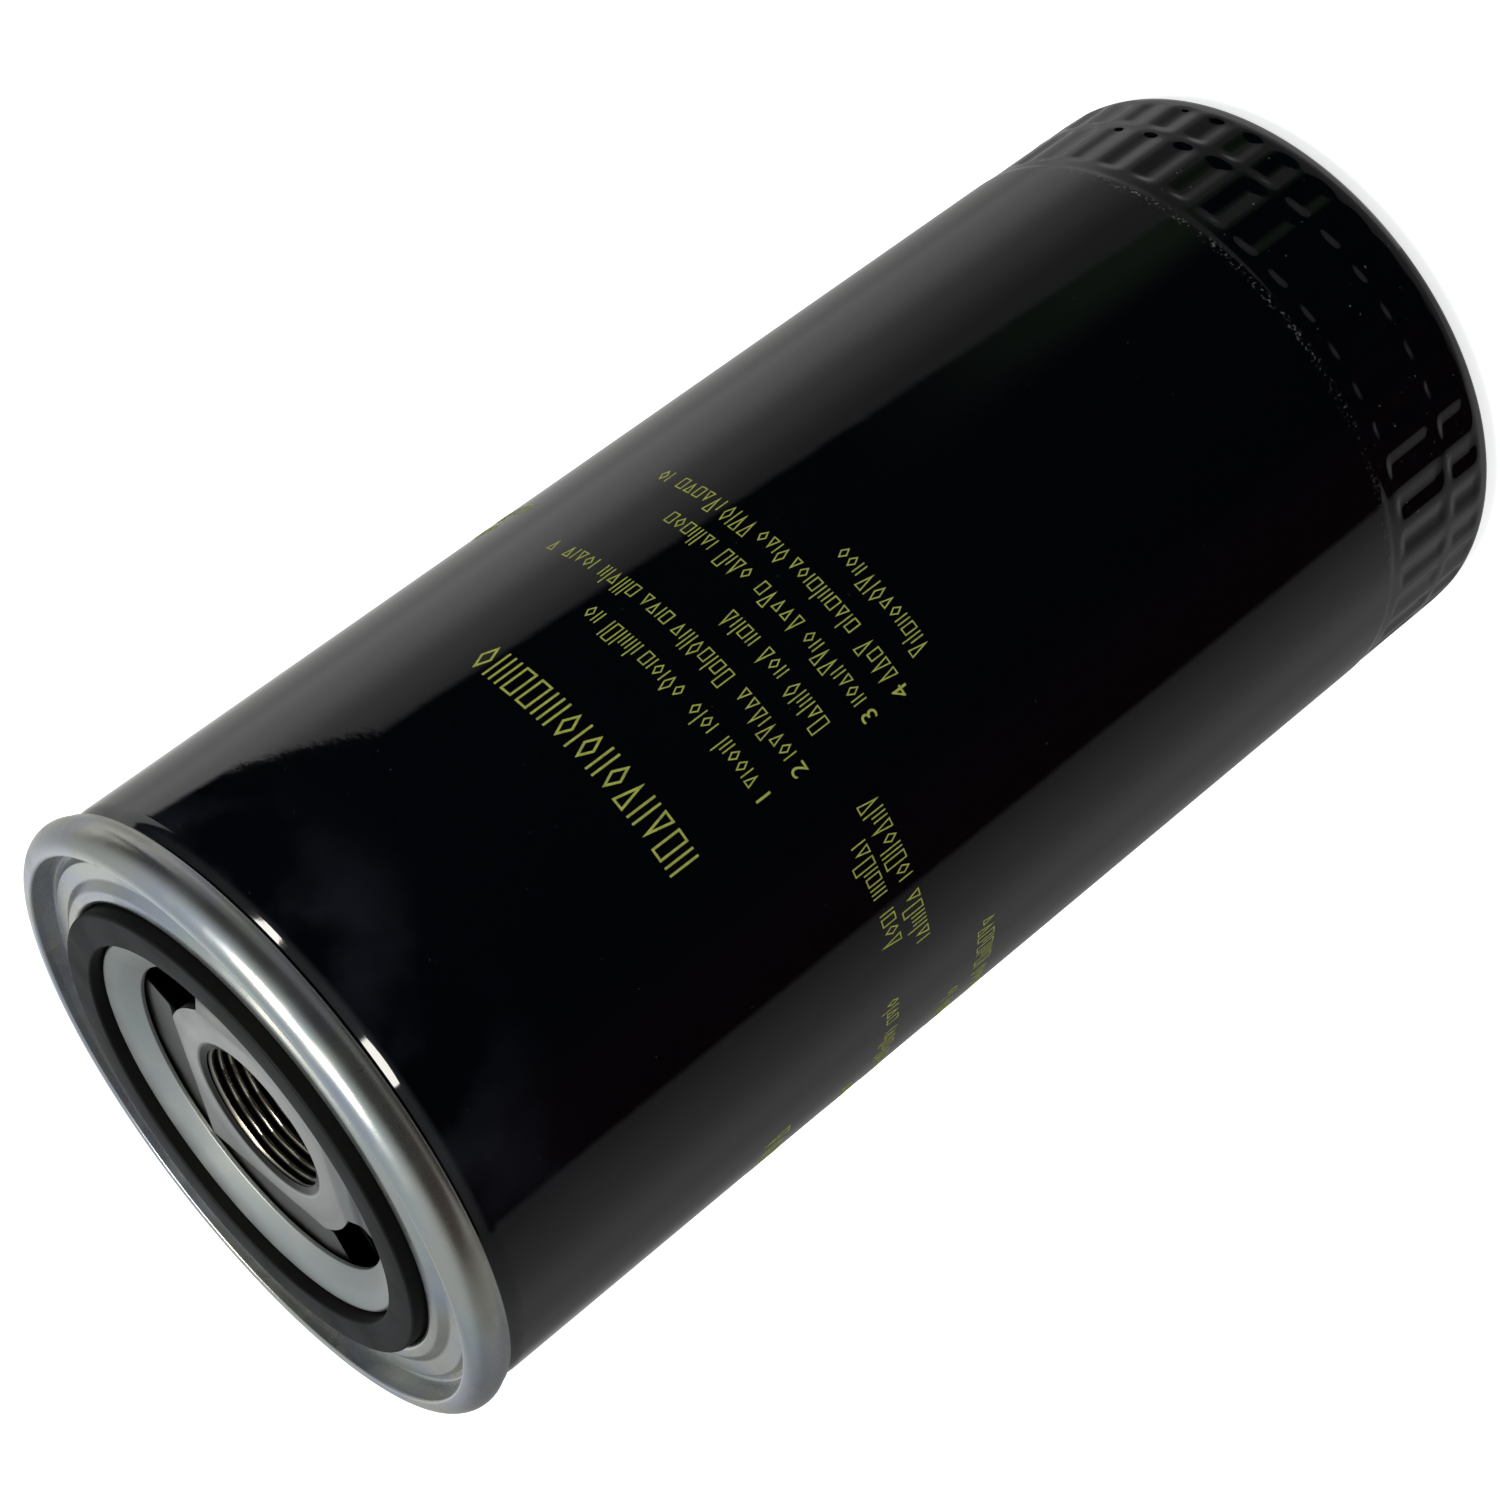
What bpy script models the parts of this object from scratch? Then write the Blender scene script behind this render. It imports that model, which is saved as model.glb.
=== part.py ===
"""Spin-on oil filter with a fluted closed end, a rolled seam and a flat sealing gasket.

Metres, +Z up. The filter stands on its closed end: the origin is the middle of that end's foot
ring, +Z runs along the filter's axis to the threaded end, and +X runs through both oil inlets.
The dimensions below are in millimetres and are multiplied by MM where they meet Blender.
"""

import math

import bmesh
import bpy
from mathutils import Vector

MM = 0.001
GAP = 0.3  # clearance between neighbouring pieces

# Facets round a turned piece
FINE = 48
MIDDLING = 32
COARSE = 24

# Overall size
HEIGHT = 210.0  # foot ring to the top of the gasket
CAN_R = 47.4
CAN_WALL = 1.0
FLUTED_WALL = 1.3
CORNER_R = 9.0  # between the can's side and its foot
FOOT_IN_R = 33.0
DOME_R = 29.0
DOME_Z = 2.4  # how far the middle of the closed end stands in

# Stamped flutes round the closed end, in two rows
FLUTES = 44
FLUTE_DEPTH = 0.5
FLUTE_EDGE = 0.5
FLUTE_TURN = math.radians(4.8)  # sets the flutes' place round the can
FLUTE_ROW_Z = ((14.1, 24.3), (6.3, 12.9))

# Rolled seam and lid
SEAM_R = 48.7
SEAM_TOP = 209.2
SEAM_BOTTOM = 203.2
NECK_R = 47.0  # the can's wall is drawn in under the seam
NECK_Z = 203.3
WALL_TOP = 206.2
LID_SHEET = 0.7
LID_HOLE_R = 25.1
LID_HOLE_Z = 205.9

# Gasket and the groove that holds it
GASKET_IN_R = 31.1
GASKET_OUT_R = 36.2
GROOVE_Z = 204.9

# Threaded base plate
PLATE_R = 43.8
PLATE_BOTTOM = 201.0
PLATE_SEAT_Z = 204.0
PLATE_RIM_Z = 204.9  # round the plateau, just under the lid's hole
PLATEAU_Z = 206.0
PLATEAU_DIAGONAL = 22.5  # middle to corner
HUB_R = 15.2
HUB_BOTTOM = 187.8
THREAD_ROOT_R = 12.0  # M24 x 1.5
THREAD_CREST_R = 11.2
THREAD_PITCH = 1.5
THREAD_TURNS = 10
INLET_IN_R = 18.4
INLET_OUT_R = 29.5
INLET_HALF_ANGLE = math.radians(19)

# Filter element
CAP_R = 41.0
CAP_SHEET = 0.8
CAP_RIM = 5.5
TOP_CAP_Z = 190.3
BOTTOM_CAP_Z = 20.0
MEDIA_OUT_R = 39.6
MEDIA_IN_R = 22.0
MEDIA_SHEET = 0.9
PLEATS = 34
TUBE_R = 20.3
TUBE_SHEET = 0.8
TUBE_HOLE_R = 2.6
TUBE_HOLE_ROWS = 5
TUBE_HOLES_ROUND = 6
GLUE_DEPTH = 3.2

# Bypass valve in the bottom cap
VALVE_BODY_R = 12.7
VALVE_SHEET = 0.8
VALVE_FLANGE_R = 17.0
VALVE_SEAT_Z = 19.4
VALVE_PORT_R = 7.0
VALVE_TOP = 40.0
VALVE_DISC_R = 10.5
VALVE_STEM_R = 4.0
BYPASS_COIL_R = 6.2
BYPASS_WIRE = 1.4
BYPASS_COILS = 4.5

# Support spring under the element
CUP_Z = 4.0
CUP_R = 22.0
SUPPORT_COIL_R = 17.0
SUPPORT_WIRE = 2.4
SUPPORT_COILS = 3.25

PIECES = "oil_filter"
CUTTERS = "cutters"

# Colour, metallic and roughness
PAINT = ("black_paint", (0.006, 0.006, 0.007), 0.0, 0.08)
ZINC = ("zinc_plate", (0.46, 0.48, 0.45), 1.0, 0.3)
PLATE_STEEL = ("plate_steel", (0.36, 0.35, 0.33), 1.0, 0.38)
RUBBER = ("black_rubber", (0.02, 0.02, 0.019), 0.0, 0.55)
VALVE_RUBBER = ("valve_rubber", (0.03, 0.03, 0.03), 0.0, 0.6)
COMPOUND = ("seam_compound", (0.2, 0.19, 0.16), 0.0, 0.7)
TINPLATE = ("tinplate", (0.62, 0.6, 0.55), 1.0, 0.35)
PAPER = ("filter_paper", (0.72, 0.55, 0.3), 0.0, 0.9)
GLUE = ("plastisol", (0.75, 0.3, 0.12), 0.0, 0.5)
SPRING_STEEL = ("spring_steel", (0.3, 0.3, 0.31), 1.0, 0.35)
VALVE_STEEL = ("valve_steel", (0.5, 0.5, 0.48), 1.0, 0.4)


def clear_scene():
    for obj in list(bpy.data.objects):
        bpy.data.objects.remove(obj)


def collection(name):
    found = bpy.data.collections.get(name)
    if found is None:
        found = bpy.data.collections.new(name)
        bpy.context.scene.collection.children.link(found)
    return found


def material(look):
    name, colour, metallic, roughness = look
    found = bpy.data.materials.get(name)
    if found is None:
        found = bpy.data.materials.new(name)
        found.use_nodes = True
        shader = found.node_tree.nodes["Principled BSDF"]
        shader.inputs["Base Color"].default_value = (*colour, 1.0)
        shader.inputs["Metallic"].default_value = metallic
        shader.inputs["Roughness"].default_value = roughness
    return found


def piece(name, mesh, look):
    obj = bpy.data.objects.new(name, mesh)
    collection(PIECES).objects.link(obj)
    mesh.materials.append(material(look))
    return obj


def cutter(name, mesh):
    obj = bpy.data.objects.new(name, mesh)
    collection(CUTTERS).objects.link(obj)
    obj.hide_render = True
    obj.display_type = "WIRE"
    return obj


def outline_mesh(name, profile):
    """A profile of (radius, height) points in the XZ plane, open where it starts on the axis."""
    mesh = bpy.data.meshes.new(name)
    count = len(profile)
    points = [(r * MM, 0.0, z * MM) for r, z in profile]
    edges = [(i, i + 1) for i in range(count - 1)]
    if profile[0][0] > 0:
        edges.append((count - 1, 0))
    mesh.from_pydata(points, edges, [])
    return mesh


def turn(obj, steps):
    screw = obj.modifiers.new("Turn", "SCREW")
    screw.axis = "Z"
    screw.angle = 2 * math.pi
    screw.steps = steps
    screw.render_steps = steps
    screw.use_merge_vertices = True
    screw.merge_threshold = 0.00001
    weld = obj.modifiers.new("Close the axis", "WELD")
    weld.merge_threshold = 0.00001


def turned(name, profile, steps, look):
    """A turned piece: the profile runs down its outer side and back up its inner side."""
    obj = piece(name, outline_mesh(name, profile), look)
    turn(obj, steps)
    return obj


def settled(obj):
    """Replaces a piece's mesh by what its modifiers make of it."""
    graph = bpy.context.evaluated_depsgraph_get()
    graph.update()
    mesh = bpy.data.meshes.new_from_object(obj.evaluated_get(graph))
    obj.modifiers.clear()
    obj.data = mesh
    return obj


def smooth(obj, angle=math.radians(35)):
    obj.data.shade_smooth()
    obj.data.set_sharp_from_angle(angle=angle)


def boolean(obj, tool, operation):
    modifier = obj.modifiers.new(operation.title(), "BOOLEAN")
    modifier.object = tool
    modifier.operation = operation
    modifier.solver = "EXACT"


def arc(centre_r, centre_z, radius, start, end, steps):
    """Profile points on a circle, from angle start to angle end in degrees."""
    points = []
    for i in range(steps + 1):
        a = math.radians(start + (end - start) * i / steps)
        points.append((centre_r + radius * math.cos(a), centre_z + radius * math.sin(a)))
    return points


def ring(in_r, out_r, low, high):
    return [(out_r, high), (out_r, low), (in_r, low), (in_r, high)]


def welded_mesh(curve_obj):
    """A curve object's closed mesh; the curve itself is removed."""
    graph = bpy.context.evaluated_depsgraph_get()
    graph.update()
    mesh = bpy.data.meshes.new_from_object(curve_obj.evaluated_get(graph))
    work = bmesh.new()
    work.from_mesh(mesh)
    bmesh.ops.remove_doubles(work, verts=work.verts, dist=0.00001)
    bmesh.ops.recalc_face_normals(work, faces=work.faces)
    work.to_mesh(mesh)
    work.free()
    bpy.data.objects.remove(curve_obj)
    return mesh


def coil_mesh(name, mean_r, wire, low, high, turns, steps_per_turn):
    """A compression spring whose first and last turns lie nearly flat."""
    curve = bpy.data.curves.new(name, "CURVE")
    curve.dimensions = "3D"
    curve.bevel_depth = wire / 2 * MM
    curve.bevel_resolution = 2
    curve.use_fill_caps = True
    count = round(turns * steps_per_turn)
    spline = curve.splines.new("POLY")
    spline.points.add(count)
    rise = high - low - wire
    dead = (wire + GAP) / rise  # share of the rise that each flat end turn takes
    for i in range(count + 1):
        t = i / count
        n = t * turns
        if n < 1:
            share = dead * n
        elif n > turns - 1:
            share = 1 - dead * (turns - n)
        else:
            share = dead + (1 - 2 * dead) * (n - 1) / (turns - 2)
        a = 2 * math.pi * n
        z = low + wire / 2 + rise * share
        spline.points[i].co = (mean_r * math.cos(a) * MM, mean_r * math.sin(a) * MM, z * MM, 1)
    obj = bpy.data.objects.new(name, curve)
    collection(PIECES).objects.link(obj)
    return welded_mesh(obj)


# --- Can, lid, plate and gasket -------------------------------------------------------------


def can_body():
    corner = CAN_R - CORNER_R
    outer = [
        (NECK_R, WALL_TOP),
        (NECK_R, NECK_Z),
        (CAN_R, NECK_Z - 1.9),
        (CAN_R, FLUTE_ROW_Z[0][1]),
        (CAN_R, FLUTE_ROW_Z[0][0]),
        (CAN_R, FLUTE_ROW_Z[1][1]),
        (CAN_R - 0.4, FLUTE_ROW_Z[1][0]),
        (CAN_R - 1.9, 3.4),
        (CAN_R - 4.4, 1.2),
        (corner, 0.0),
        (FOOT_IN_R, 0.0),
        (DOME_R, DOME_Z),
    ]
    inner = [
        (DOME_R - 0.4, DOME_Z + FLUTED_WALL),
        (FOOT_IN_R + 0.3, FLUTED_WALL),
        (corner, FLUTED_WALL),
        (CAN_R - 3.0, 5.0),
        (CAN_R - FLUTED_WALL, FLUTE_ROW_Z[1][1]),
        (CAN_R - CAN_WALL, FLUTE_ROW_Z[0][1] + 2),
        (CAN_R - CAN_WALL, NECK_Z - 1.9),
        (NECK_R - CAN_WALL, NECK_Z),
        (NECK_R - CAN_WALL, WALL_TOP),
    ]
    # The loop would close across the axis, so it is split there and starts at the middle.
    bottom_middle = (0.0, DOME_Z)
    top_middle = (0.0, DOME_Z + FLUTED_WALL)
    profile = [top_middle, *inner, *outer, bottom_middle]
    obj = turned("can_body", profile, 2 * FLUTES, PAINT)
    settled(obj)
    stamp_flutes(obj)
    smooth(obj)
    obj.rotation_euler.z = FLUTE_TURN
    return obj


def stamp_flutes(obj):
    """Sinks every second facet of the two rows, so that ribs are left between the flutes."""
    work = bmesh.new()
    work.from_mesh(obj.data)
    work.faces.ensure_lookup_table()
    stamped = []
    for face in work.faces:
        middle = face.calc_center_median() / MM
        radius = math.hypot(middle.x, middle.y)
        outward = face.normal.x * middle.x + face.normal.y * middle.y > 0
        column = int((math.atan2(middle.y, middle.x) / math.pi + 1) * FLUTES)
        low, high = min(v.co.z for v in face.verts) / MM, max(v.co.z for v in face.verts) / MM
        in_row = any(abs(low - a) < 0.1 and abs(high - b) < 0.1 for a, b in FLUTE_ROW_Z)
        if in_row and outward and radius > CAN_R - 1.2 and column % 2 == 0:
            stamped.append(face)
    bmesh.ops.inset_individual(
        work, faces=stamped, thickness=FLUTE_EDGE * MM, depth=-FLUTE_DEPTH * MM
    )
    work.to_mesh(obj.data)
    work.free()


def seaming_lid():
    skirt_in = NECK_R + GAP
    chuck_in = NECK_R - CAN_WALL - GAP
    groove_in = GASKET_IN_R - GAP
    groove_out = GASKET_OUT_R + GAP
    flange = [(LID_HOLE_R, LID_HOLE_Z - 0.6), (LID_HOLE_R, LID_HOLE_Z), (27.4, 207.1)]
    profile = [
        (46.3, SEAM_TOP),
        (47.9, SEAM_TOP - 0.7),
        (SEAM_R, SEAM_TOP - 2.2),
        (SEAM_R, SEAM_BOTTOM + 1.3),
        (skirt_in + 0.4, SEAM_BOTTOM),
        (skirt_in, 207.8),
        (chuck_in, 207.8),
        (chuck_in, 205.4),
        (43.0, 204.9),
        (40.2, 205.8),
        (groove_out + LID_SHEET + 0.1, GROOVE_Z - 0.6),
        (groove_in - LID_SHEET, GROOVE_Z - 0.6),
        (groove_in - LID_SHEET, 207.4),
        *flange,
        (groove_in - 0.5, 208.3),
        (groove_in, 207.9),
        (groove_in, GROOVE_Z),
        (groove_out, GROOVE_Z),
        (groove_out, 207.6),
        (37.6, 207.8),
        (39.2, 206.8),
        (42.3, 206.8),
        (43.2, 205.8),
        (44.0, 205.9),
        (44.7, 208.3),
    ]
    obj = turned("seaming_lid", profile, FINE, ZINC)
    smooth(obj)
    return obj


def sealing_gasket():
    low = GROOVE_Z + GAP
    round_r = 0.5
    inside = GASKET_IN_R + round_r
    outside = GASKET_OUT_R - round_r
    profile = [
        *arc(outside, HEIGHT - round_r, round_r, 90, 0, 2),
        (GASKET_OUT_R, low),
        (GASKET_IN_R, low),
        *arc(inside, HEIGHT - round_r, round_r, 180, 90, 2),
    ]
    obj = turned("sealing_gasket", profile, FINE, RUBBER)
    smooth(obj)
    return obj


def seam_compound():
    low = WALL_TOP + GAP
    profile = ring(NECK_R - CAN_WALL + 0.1, NECK_R - 0.1, low, low + 1.0)
    obj = turned("seam_compound", profile, MIDDLING, COMPOUND)
    smooth(obj)
    return obj


def plate_profile():
    """The plate's turned shape: seat ring, rim under the lid's hole, hub and threaded bore."""
    thread = []
    thread_bottom = HUB_BOTTOM + 1.5
    for i in range(THREAD_TURNS):
        z = thread_bottom + i * THREAD_PITCH
        thread.append((THREAD_CREST_R, z))
        thread.append((THREAD_ROOT_R, z + THREAD_PITCH / 2))
    thread_top = thread_bottom + THREAD_TURNS * THREAD_PITCH
    return [
        (16.2, PLATEAU_Z - 0.05),
        (17.5, PLATE_RIM_Z),
        (27.5, PLATE_RIM_Z),
        (29.5, PLATE_SEAT_Z),
        (PLATE_R, PLATE_SEAT_Z),
        (PLATE_R, PLATE_BOTTOM),
        (HUB_R + 1.5, PLATE_BOTTOM),
        (HUB_R, PLATE_BOTTOM - 1.5),
        (HUB_R, HUB_BOTTOM),
        (THREAD_ROOT_R + 0.5, HUB_BOTTOM),
        *thread,
        (THREAD_CREST_R, thread_top),
        (THREAD_CREST_R + 1.5, PLATEAU_Z + 0.1),
        (14.0, PLATEAU_Z + 0.15),
    ]


def plateau_cutter():
    """The raised square in the middle of the plate, with its corners towards +X and +Y."""
    low = PLATE_RIM_Z - 0.6
    flare = 2.0 * (PLATEAU_Z - low)
    work = bmesh.new()
    bmesh.ops.create_cone(
        work,
        cap_ends=True,
        segments=4,
        radius1=(PLATEAU_DIAGONAL + flare) * MM,
        radius2=PLATEAU_DIAGONAL * MM,
        depth=(PLATEAU_Z - low) * MM,
    )
    bmesh.ops.translate(work, verts=work.verts, vec=Vector((0, 0, (PLATEAU_Z + low) / 2 * MM)))
    upright = [e for e in work.edges if abs(e.verts[0].co.z - e.verts[1].co.z) > 0.0005]
    bmesh.ops.bevel(work, geom=upright, offset=2.0 * MM, segments=2, affect="EDGES", profile=0.5)
    mesh = bpy.data.meshes.new("plateau")
    work.to_mesh(mesh)
    work.free()
    obj = cutter("plateau", mesh)
    core = bmesh.new()
    bmesh.ops.create_cone(
        core,
        cap_ends=True,
        segments=MIDDLING,
        radius1=(HUB_R - 0.4) * MM,
        radius2=(HUB_R - 0.4) * MM,
        depth=20 * MM,
    )
    bmesh.ops.translate(core, verts=core.verts, vec=Vector((0, 0, PLATEAU_Z * MM)))
    core_mesh = bpy.data.meshes.new("plateau_core")
    core.to_mesh(core_mesh)
    core.free()
    boolean(obj, cutter("plateau_core", core_mesh), "DIFFERENCE")
    return obj


def inlet_cutter(name, direction):
    """A curved slot through the plate, centred on the given direction."""
    steps = 8
    corner = math.radians(3.5)
    outline = []
    for radius, sign in ((INLET_OUT_R, 1), (INLET_IN_R, -1)):
        span = INLET_HALF_ANGLE - corner
        for i in range(steps + 1):
            a = direction + sign * (2 * i / steps - 1) * span
            outline.append((radius * math.cos(a), radius * math.sin(a)))
        a = direction + sign * INLET_HALF_ANGLE
        for side in (-1, 1):
            r = (INLET_IN_R + INLET_OUT_R) / 2 - side * sign * 3.4
            outline.append((r * math.cos(a), r * math.sin(a)))
    curve = bpy.data.curves.new(name, "CURVE")
    curve.dimensions = "2D"
    curve.fill_mode = "BOTH"
    curve.extrude = 6 * MM
    spline = curve.splines.new("POLY")
    spline.points.add(len(outline) - 1)
    spline.use_cyclic_u = True
    for point, (x, y) in zip(spline.points, outline):
        point.co = (x * MM, y * MM, 0, 1)
    flat = bpy.data.objects.new(name + "_outline", curve)
    collection(CUTTERS).objects.link(flat)
    obj = cutter(name, welded_mesh(flat))
    obj.location.z = PLATE_RIM_Z * MM
    return obj


def base_plate():
    obj = turned("base_plate", plate_profile(), MIDDLING, PLATE_STEEL)
    boolean(obj, plateau_cutter(), "UNION")
    boolean(obj, inlet_cutter("inlet_right", 0.0), "DIFFERENCE")
    boolean(obj, inlet_cutter("inlet_left", math.pi), "DIFFERENCE")
    settled(obj)
    smooth(obj)
    return obj


# --- Anti-drain valve and filter element ----------------------------------------------------


def anti_drain_valve():
    """A rubber diaphragm: a collar round the hub, and a cone whose lip closes the inlets."""
    collar_in = HUB_R + GAP
    collar_out = collar_in + 2.4
    lip_top = PLATE_BOTTOM - GAP
    profile = [
        (33.0, lip_top),
        (35.5, lip_top),
        (35.8, lip_top - 0.7),
        (collar_out + 1.0, 196.4),
        (collar_out, 194.6),
        (collar_in, 194.6),
        (collar_in, 198.6),
        (collar_out, 198.0),
    ]
    obj = turned("anti_drain_valve", profile, MIDDLING, VALVE_RUBBER)
    smooth(obj)
    return obj


def element_seal():
    """The grommet that seals the top cap's hole against the hub."""
    neck_in = HUB_R + GAP
    neck_out = neck_in + 2.5
    brim = neck_out + 2.0
    cap_top = TOP_CAP_Z + GAP
    cap_low = TOP_CAP_Z - CAP_SHEET - GAP
    profile = [
        (brim, cap_top + 1.6),
        (brim, cap_top),
        (neck_out, cap_top),
        (neck_out, cap_low),
        (brim, cap_low),
        (brim, cap_low - 1.6),
        (neck_in, cap_low - 2.2),
        (neck_in, cap_top + 1.9),
    ]
    obj = turned("element_seal", profile, MIDDLING, RUBBER)
    smooth(obj)
    return obj


def element_top_cap():
    hole = HUB_R + GAP + 2.5 + GAP
    profile = [
        (hole, TOP_CAP_Z),
        (CAP_R - 0.8, TOP_CAP_Z),
        (CAP_R, TOP_CAP_Z - 0.8),
        (CAP_R, TOP_CAP_Z - CAP_RIM),
        (CAP_R - CAP_SHEET, TOP_CAP_Z - CAP_RIM),
        (CAP_R - CAP_SHEET, TOP_CAP_Z - 1.2),
        (CAP_R - 1.4, TOP_CAP_Z - CAP_SHEET),
        (hole, TOP_CAP_Z - CAP_SHEET),
    ]
    obj = turned("element_top_cap", profile, MIDDLING, TINPLATE)
    smooth(obj)
    return obj


def element_bottom_cap():
    """The cap's collar, on its underside, keeps the support spring in the middle."""
    hole = VALVE_BODY_R + GAP
    top = BOTTOM_CAP_Z + CAP_SHEET
    collar = SUPPORT_COIL_R + SUPPORT_WIRE / 2 + 0.8
    profile = [
        (CAP_R, BOTTOM_CAP_Z + CAP_RIM),
        (CAP_R, BOTTOM_CAP_Z + 0.8),
        (CAP_R - 0.8, BOTTOM_CAP_Z),
        (collar + CAP_SHEET, BOTTOM_CAP_Z),
        (collar + CAP_SHEET, BOTTOM_CAP_Z - 3),
        (collar, BOTTOM_CAP_Z - 3),
        (collar, BOTTOM_CAP_Z),
        (hole, BOTTOM_CAP_Z),
        (hole, top),
        (CAP_R - 1.4, top),
        (CAP_R - CAP_SHEET, BOTTOM_CAP_Z + 1.2),
        (CAP_R - CAP_SHEET, BOTTOM_CAP_Z + CAP_RIM),
    ]
    obj = turned("element_bottom_cap", profile, MIDDLING, TINPLATE)
    smooth(obj)
    return obj


def potting(name, low):
    """The adhesive that bonds the pleats into a cap."""
    profile = ring(TUBE_R + GAP, CAP_R - 1.6, low, low + GLUE_DEPTH)
    obj = turned(name, profile, MIDDLING, GLUE)
    smooth(obj)
    return obj


def media_span():
    low = BOTTOM_CAP_Z + CAP_SHEET + GAP + GLUE_DEPTH + GAP
    high = TOP_CAP_Z - CAP_SHEET - GAP - GLUE_DEPTH - GAP
    return low, high


def pleated_media():
    """One folded sheet: its zigzag runs once round the tube, and its two ends stay open."""
    low, high = media_span()
    half = MEDIA_SHEET / 2
    folds = 2 * PLEATS
    seam = math.pi / PLEATS  # one fold's angle is left out for the seam clip
    outer, inner = [], []
    for i in range(folds):
        a = seam + (2 * math.pi - 2 * seam) * i / (folds - 1)
        middle = MEDIA_OUT_R - half if i % 2 else MEDIA_IN_R + half
        outer.append(((middle + half) * math.cos(a), (middle + half) * math.sin(a)))
        inner.append(((middle - half) * math.cos(a), (middle - half) * math.sin(a)))
    work = bmesh.new()
    rings = [
        [work.verts.new((x * MM, y * MM, z * MM)) for x, y in line]
        for line in (outer, inner)
        for z in (low, high)
    ]
    outer_low, outer_high, inner_low, inner_high = rings
    for i in range(folds - 1):
        work.faces.new((outer_low[i], outer_low[i + 1], outer_high[i + 1], outer_high[i]))
        work.faces.new((inner_high[i], inner_high[i + 1], inner_low[i + 1], inner_low[i]))
        work.faces.new((outer_high[i], outer_high[i + 1], inner_high[i + 1], inner_high[i]))
        work.faces.new((inner_low[i], inner_low[i + 1], outer_low[i + 1], outer_low[i]))
    for i in (0, folds - 1):
        work.faces.new((outer_low[i], outer_high[i], inner_high[i], inner_low[i]))
    bmesh.ops.recalc_face_normals(work, faces=work.faces)
    mesh = bpy.data.meshes.new("pleated_media")
    work.to_mesh(mesh)
    work.free()
    return piece("pleated_media", mesh, PAPER)


def media_seam_clip():
    """The metal strip that joins the sheet's two ends, at +X on the pleats' outer side."""
    low, high = media_span()
    work = bmesh.new()
    bmesh.ops.create_cube(work, size=1.0)
    size = Vector((8.0, 1.6, high - low - 1.0)) * MM
    bmesh.ops.scale(work, verts=work.verts, vec=size)
    bmesh.ops.translate(work, verts=work.verts, vec=Vector((33.0, 0, (low + high) / 2)) * MM)
    mesh = bpy.data.meshes.new("media_seam_clip")
    work.to_mesh(mesh)
    work.free()
    obj = piece("media_seam_clip", mesh, TINPLATE)
    bevel = obj.modifiers.new("Folded edges", "BEVEL")
    bevel.width = 0.3 * MM
    bevel.segments = 1
    return obj


def tube_holes(low, high):
    """Round pins through the tube's wall, joined into one cutter; none of them touch."""
    work = bmesh.new()
    for row in range(TUBE_HOLE_ROWS):
        z = low + (high - low) * (row + 0.5) / TUBE_HOLE_ROWS
        for k in range(TUBE_HOLES_ROUND):
            a = 2 * math.pi * (k + 0.5 * (row % 2)) / TUBE_HOLES_ROUND
            made = bmesh.ops.create_cone(
                work,
                cap_ends=True,
                segments=8,
                radius1=TUBE_HOLE_R * MM,
                radius2=TUBE_HOLE_R * MM,
                depth=6 * MM,
            )
            out = Vector((math.cos(a), math.sin(a), 0))
            turn_out = out.to_track_quat("Z", "Y").to_matrix()
            bmesh.ops.rotate(work, verts=made["verts"], matrix=turn_out)
            place = out * (TUBE_R * MM) + Vector((0, 0, z * MM))
            bmesh.ops.translate(work, verts=made["verts"], vec=place)
    mesh = bpy.data.meshes.new("tube_holes")
    work.to_mesh(mesh)
    work.free()
    return cutter("tube_holes", mesh)


def centre_tube():
    low = BOTTOM_CAP_Z + CAP_SHEET + GAP
    high = TOP_CAP_Z - CAP_SHEET - GAP - 2.2 - 2 * GAP
    obj = turned("centre_tube", ring(TUBE_R - TUBE_SHEET, TUBE_R, low, high), MIDDLING, TINPLATE)
    boolean(obj, tube_holes(low + 22, high - 4), "DIFFERENCE")
    settled(obj)
    smooth(obj)
    return obj


# --- Bypass valve ---------------------------------------------------------------------------


def bypass_body():
    """A flanged cup in the bottom cap's hole; the port in its floor is the valve's seat."""
    floor_low = VALVE_SEAT_Z - VALVE_SHEET
    flange_low = BOTTOM_CAP_Z + CAP_SHEET + GAP
    wall_in = VALVE_BODY_R - VALVE_SHEET
    profile = [
        (VALVE_BODY_R, VALVE_TOP),
        (VALVE_BODY_R, flange_low + VALVE_SHEET),
        (VALVE_FLANGE_R, flange_low + VALVE_SHEET),
        (VALVE_FLANGE_R, flange_low),
        (VALVE_BODY_R, flange_low),
        (VALVE_BODY_R, floor_low),
        (VALVE_PORT_R, floor_low),
        (VALVE_PORT_R, VALVE_SEAT_Z),
        (wall_in, VALVE_SEAT_Z),
        (wall_in, VALVE_TOP),
    ]
    obj = turned("bypass_body", profile, COARSE, VALVE_STEEL)
    smooth(obj)
    return obj


def bypass_seal():
    low = VALVE_SEAT_Z + GAP
    profile = ring(VALVE_PORT_R + 0.5, VALVE_BODY_R - VALVE_SHEET - GAP, low, low + 1.5)
    obj = turned("bypass_seal", profile, COARSE, RUBBER)
    smooth(obj)
    return obj


def disc_low():
    return VALVE_SEAT_Z + GAP + 1.5 + GAP


def bypass_disc():
    """The moving disc, with a stem that keeps its spring in the middle."""
    low = disc_low()
    profile = [
        (0.0, low + 8.0),
        (VALVE_STEM_R - 0.6, low + 8.0),
        (VALVE_STEM_R, low + 7.2),
        (VALVE_STEM_R, low + 1.2),
        (VALVE_DISC_R, low + 1.0),
        (VALVE_DISC_R, low),
        (0.0, low),
    ]
    obj = turned("bypass_disc", profile, COARSE, VALVE_STEEL)
    smooth(obj)
    return obj


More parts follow.
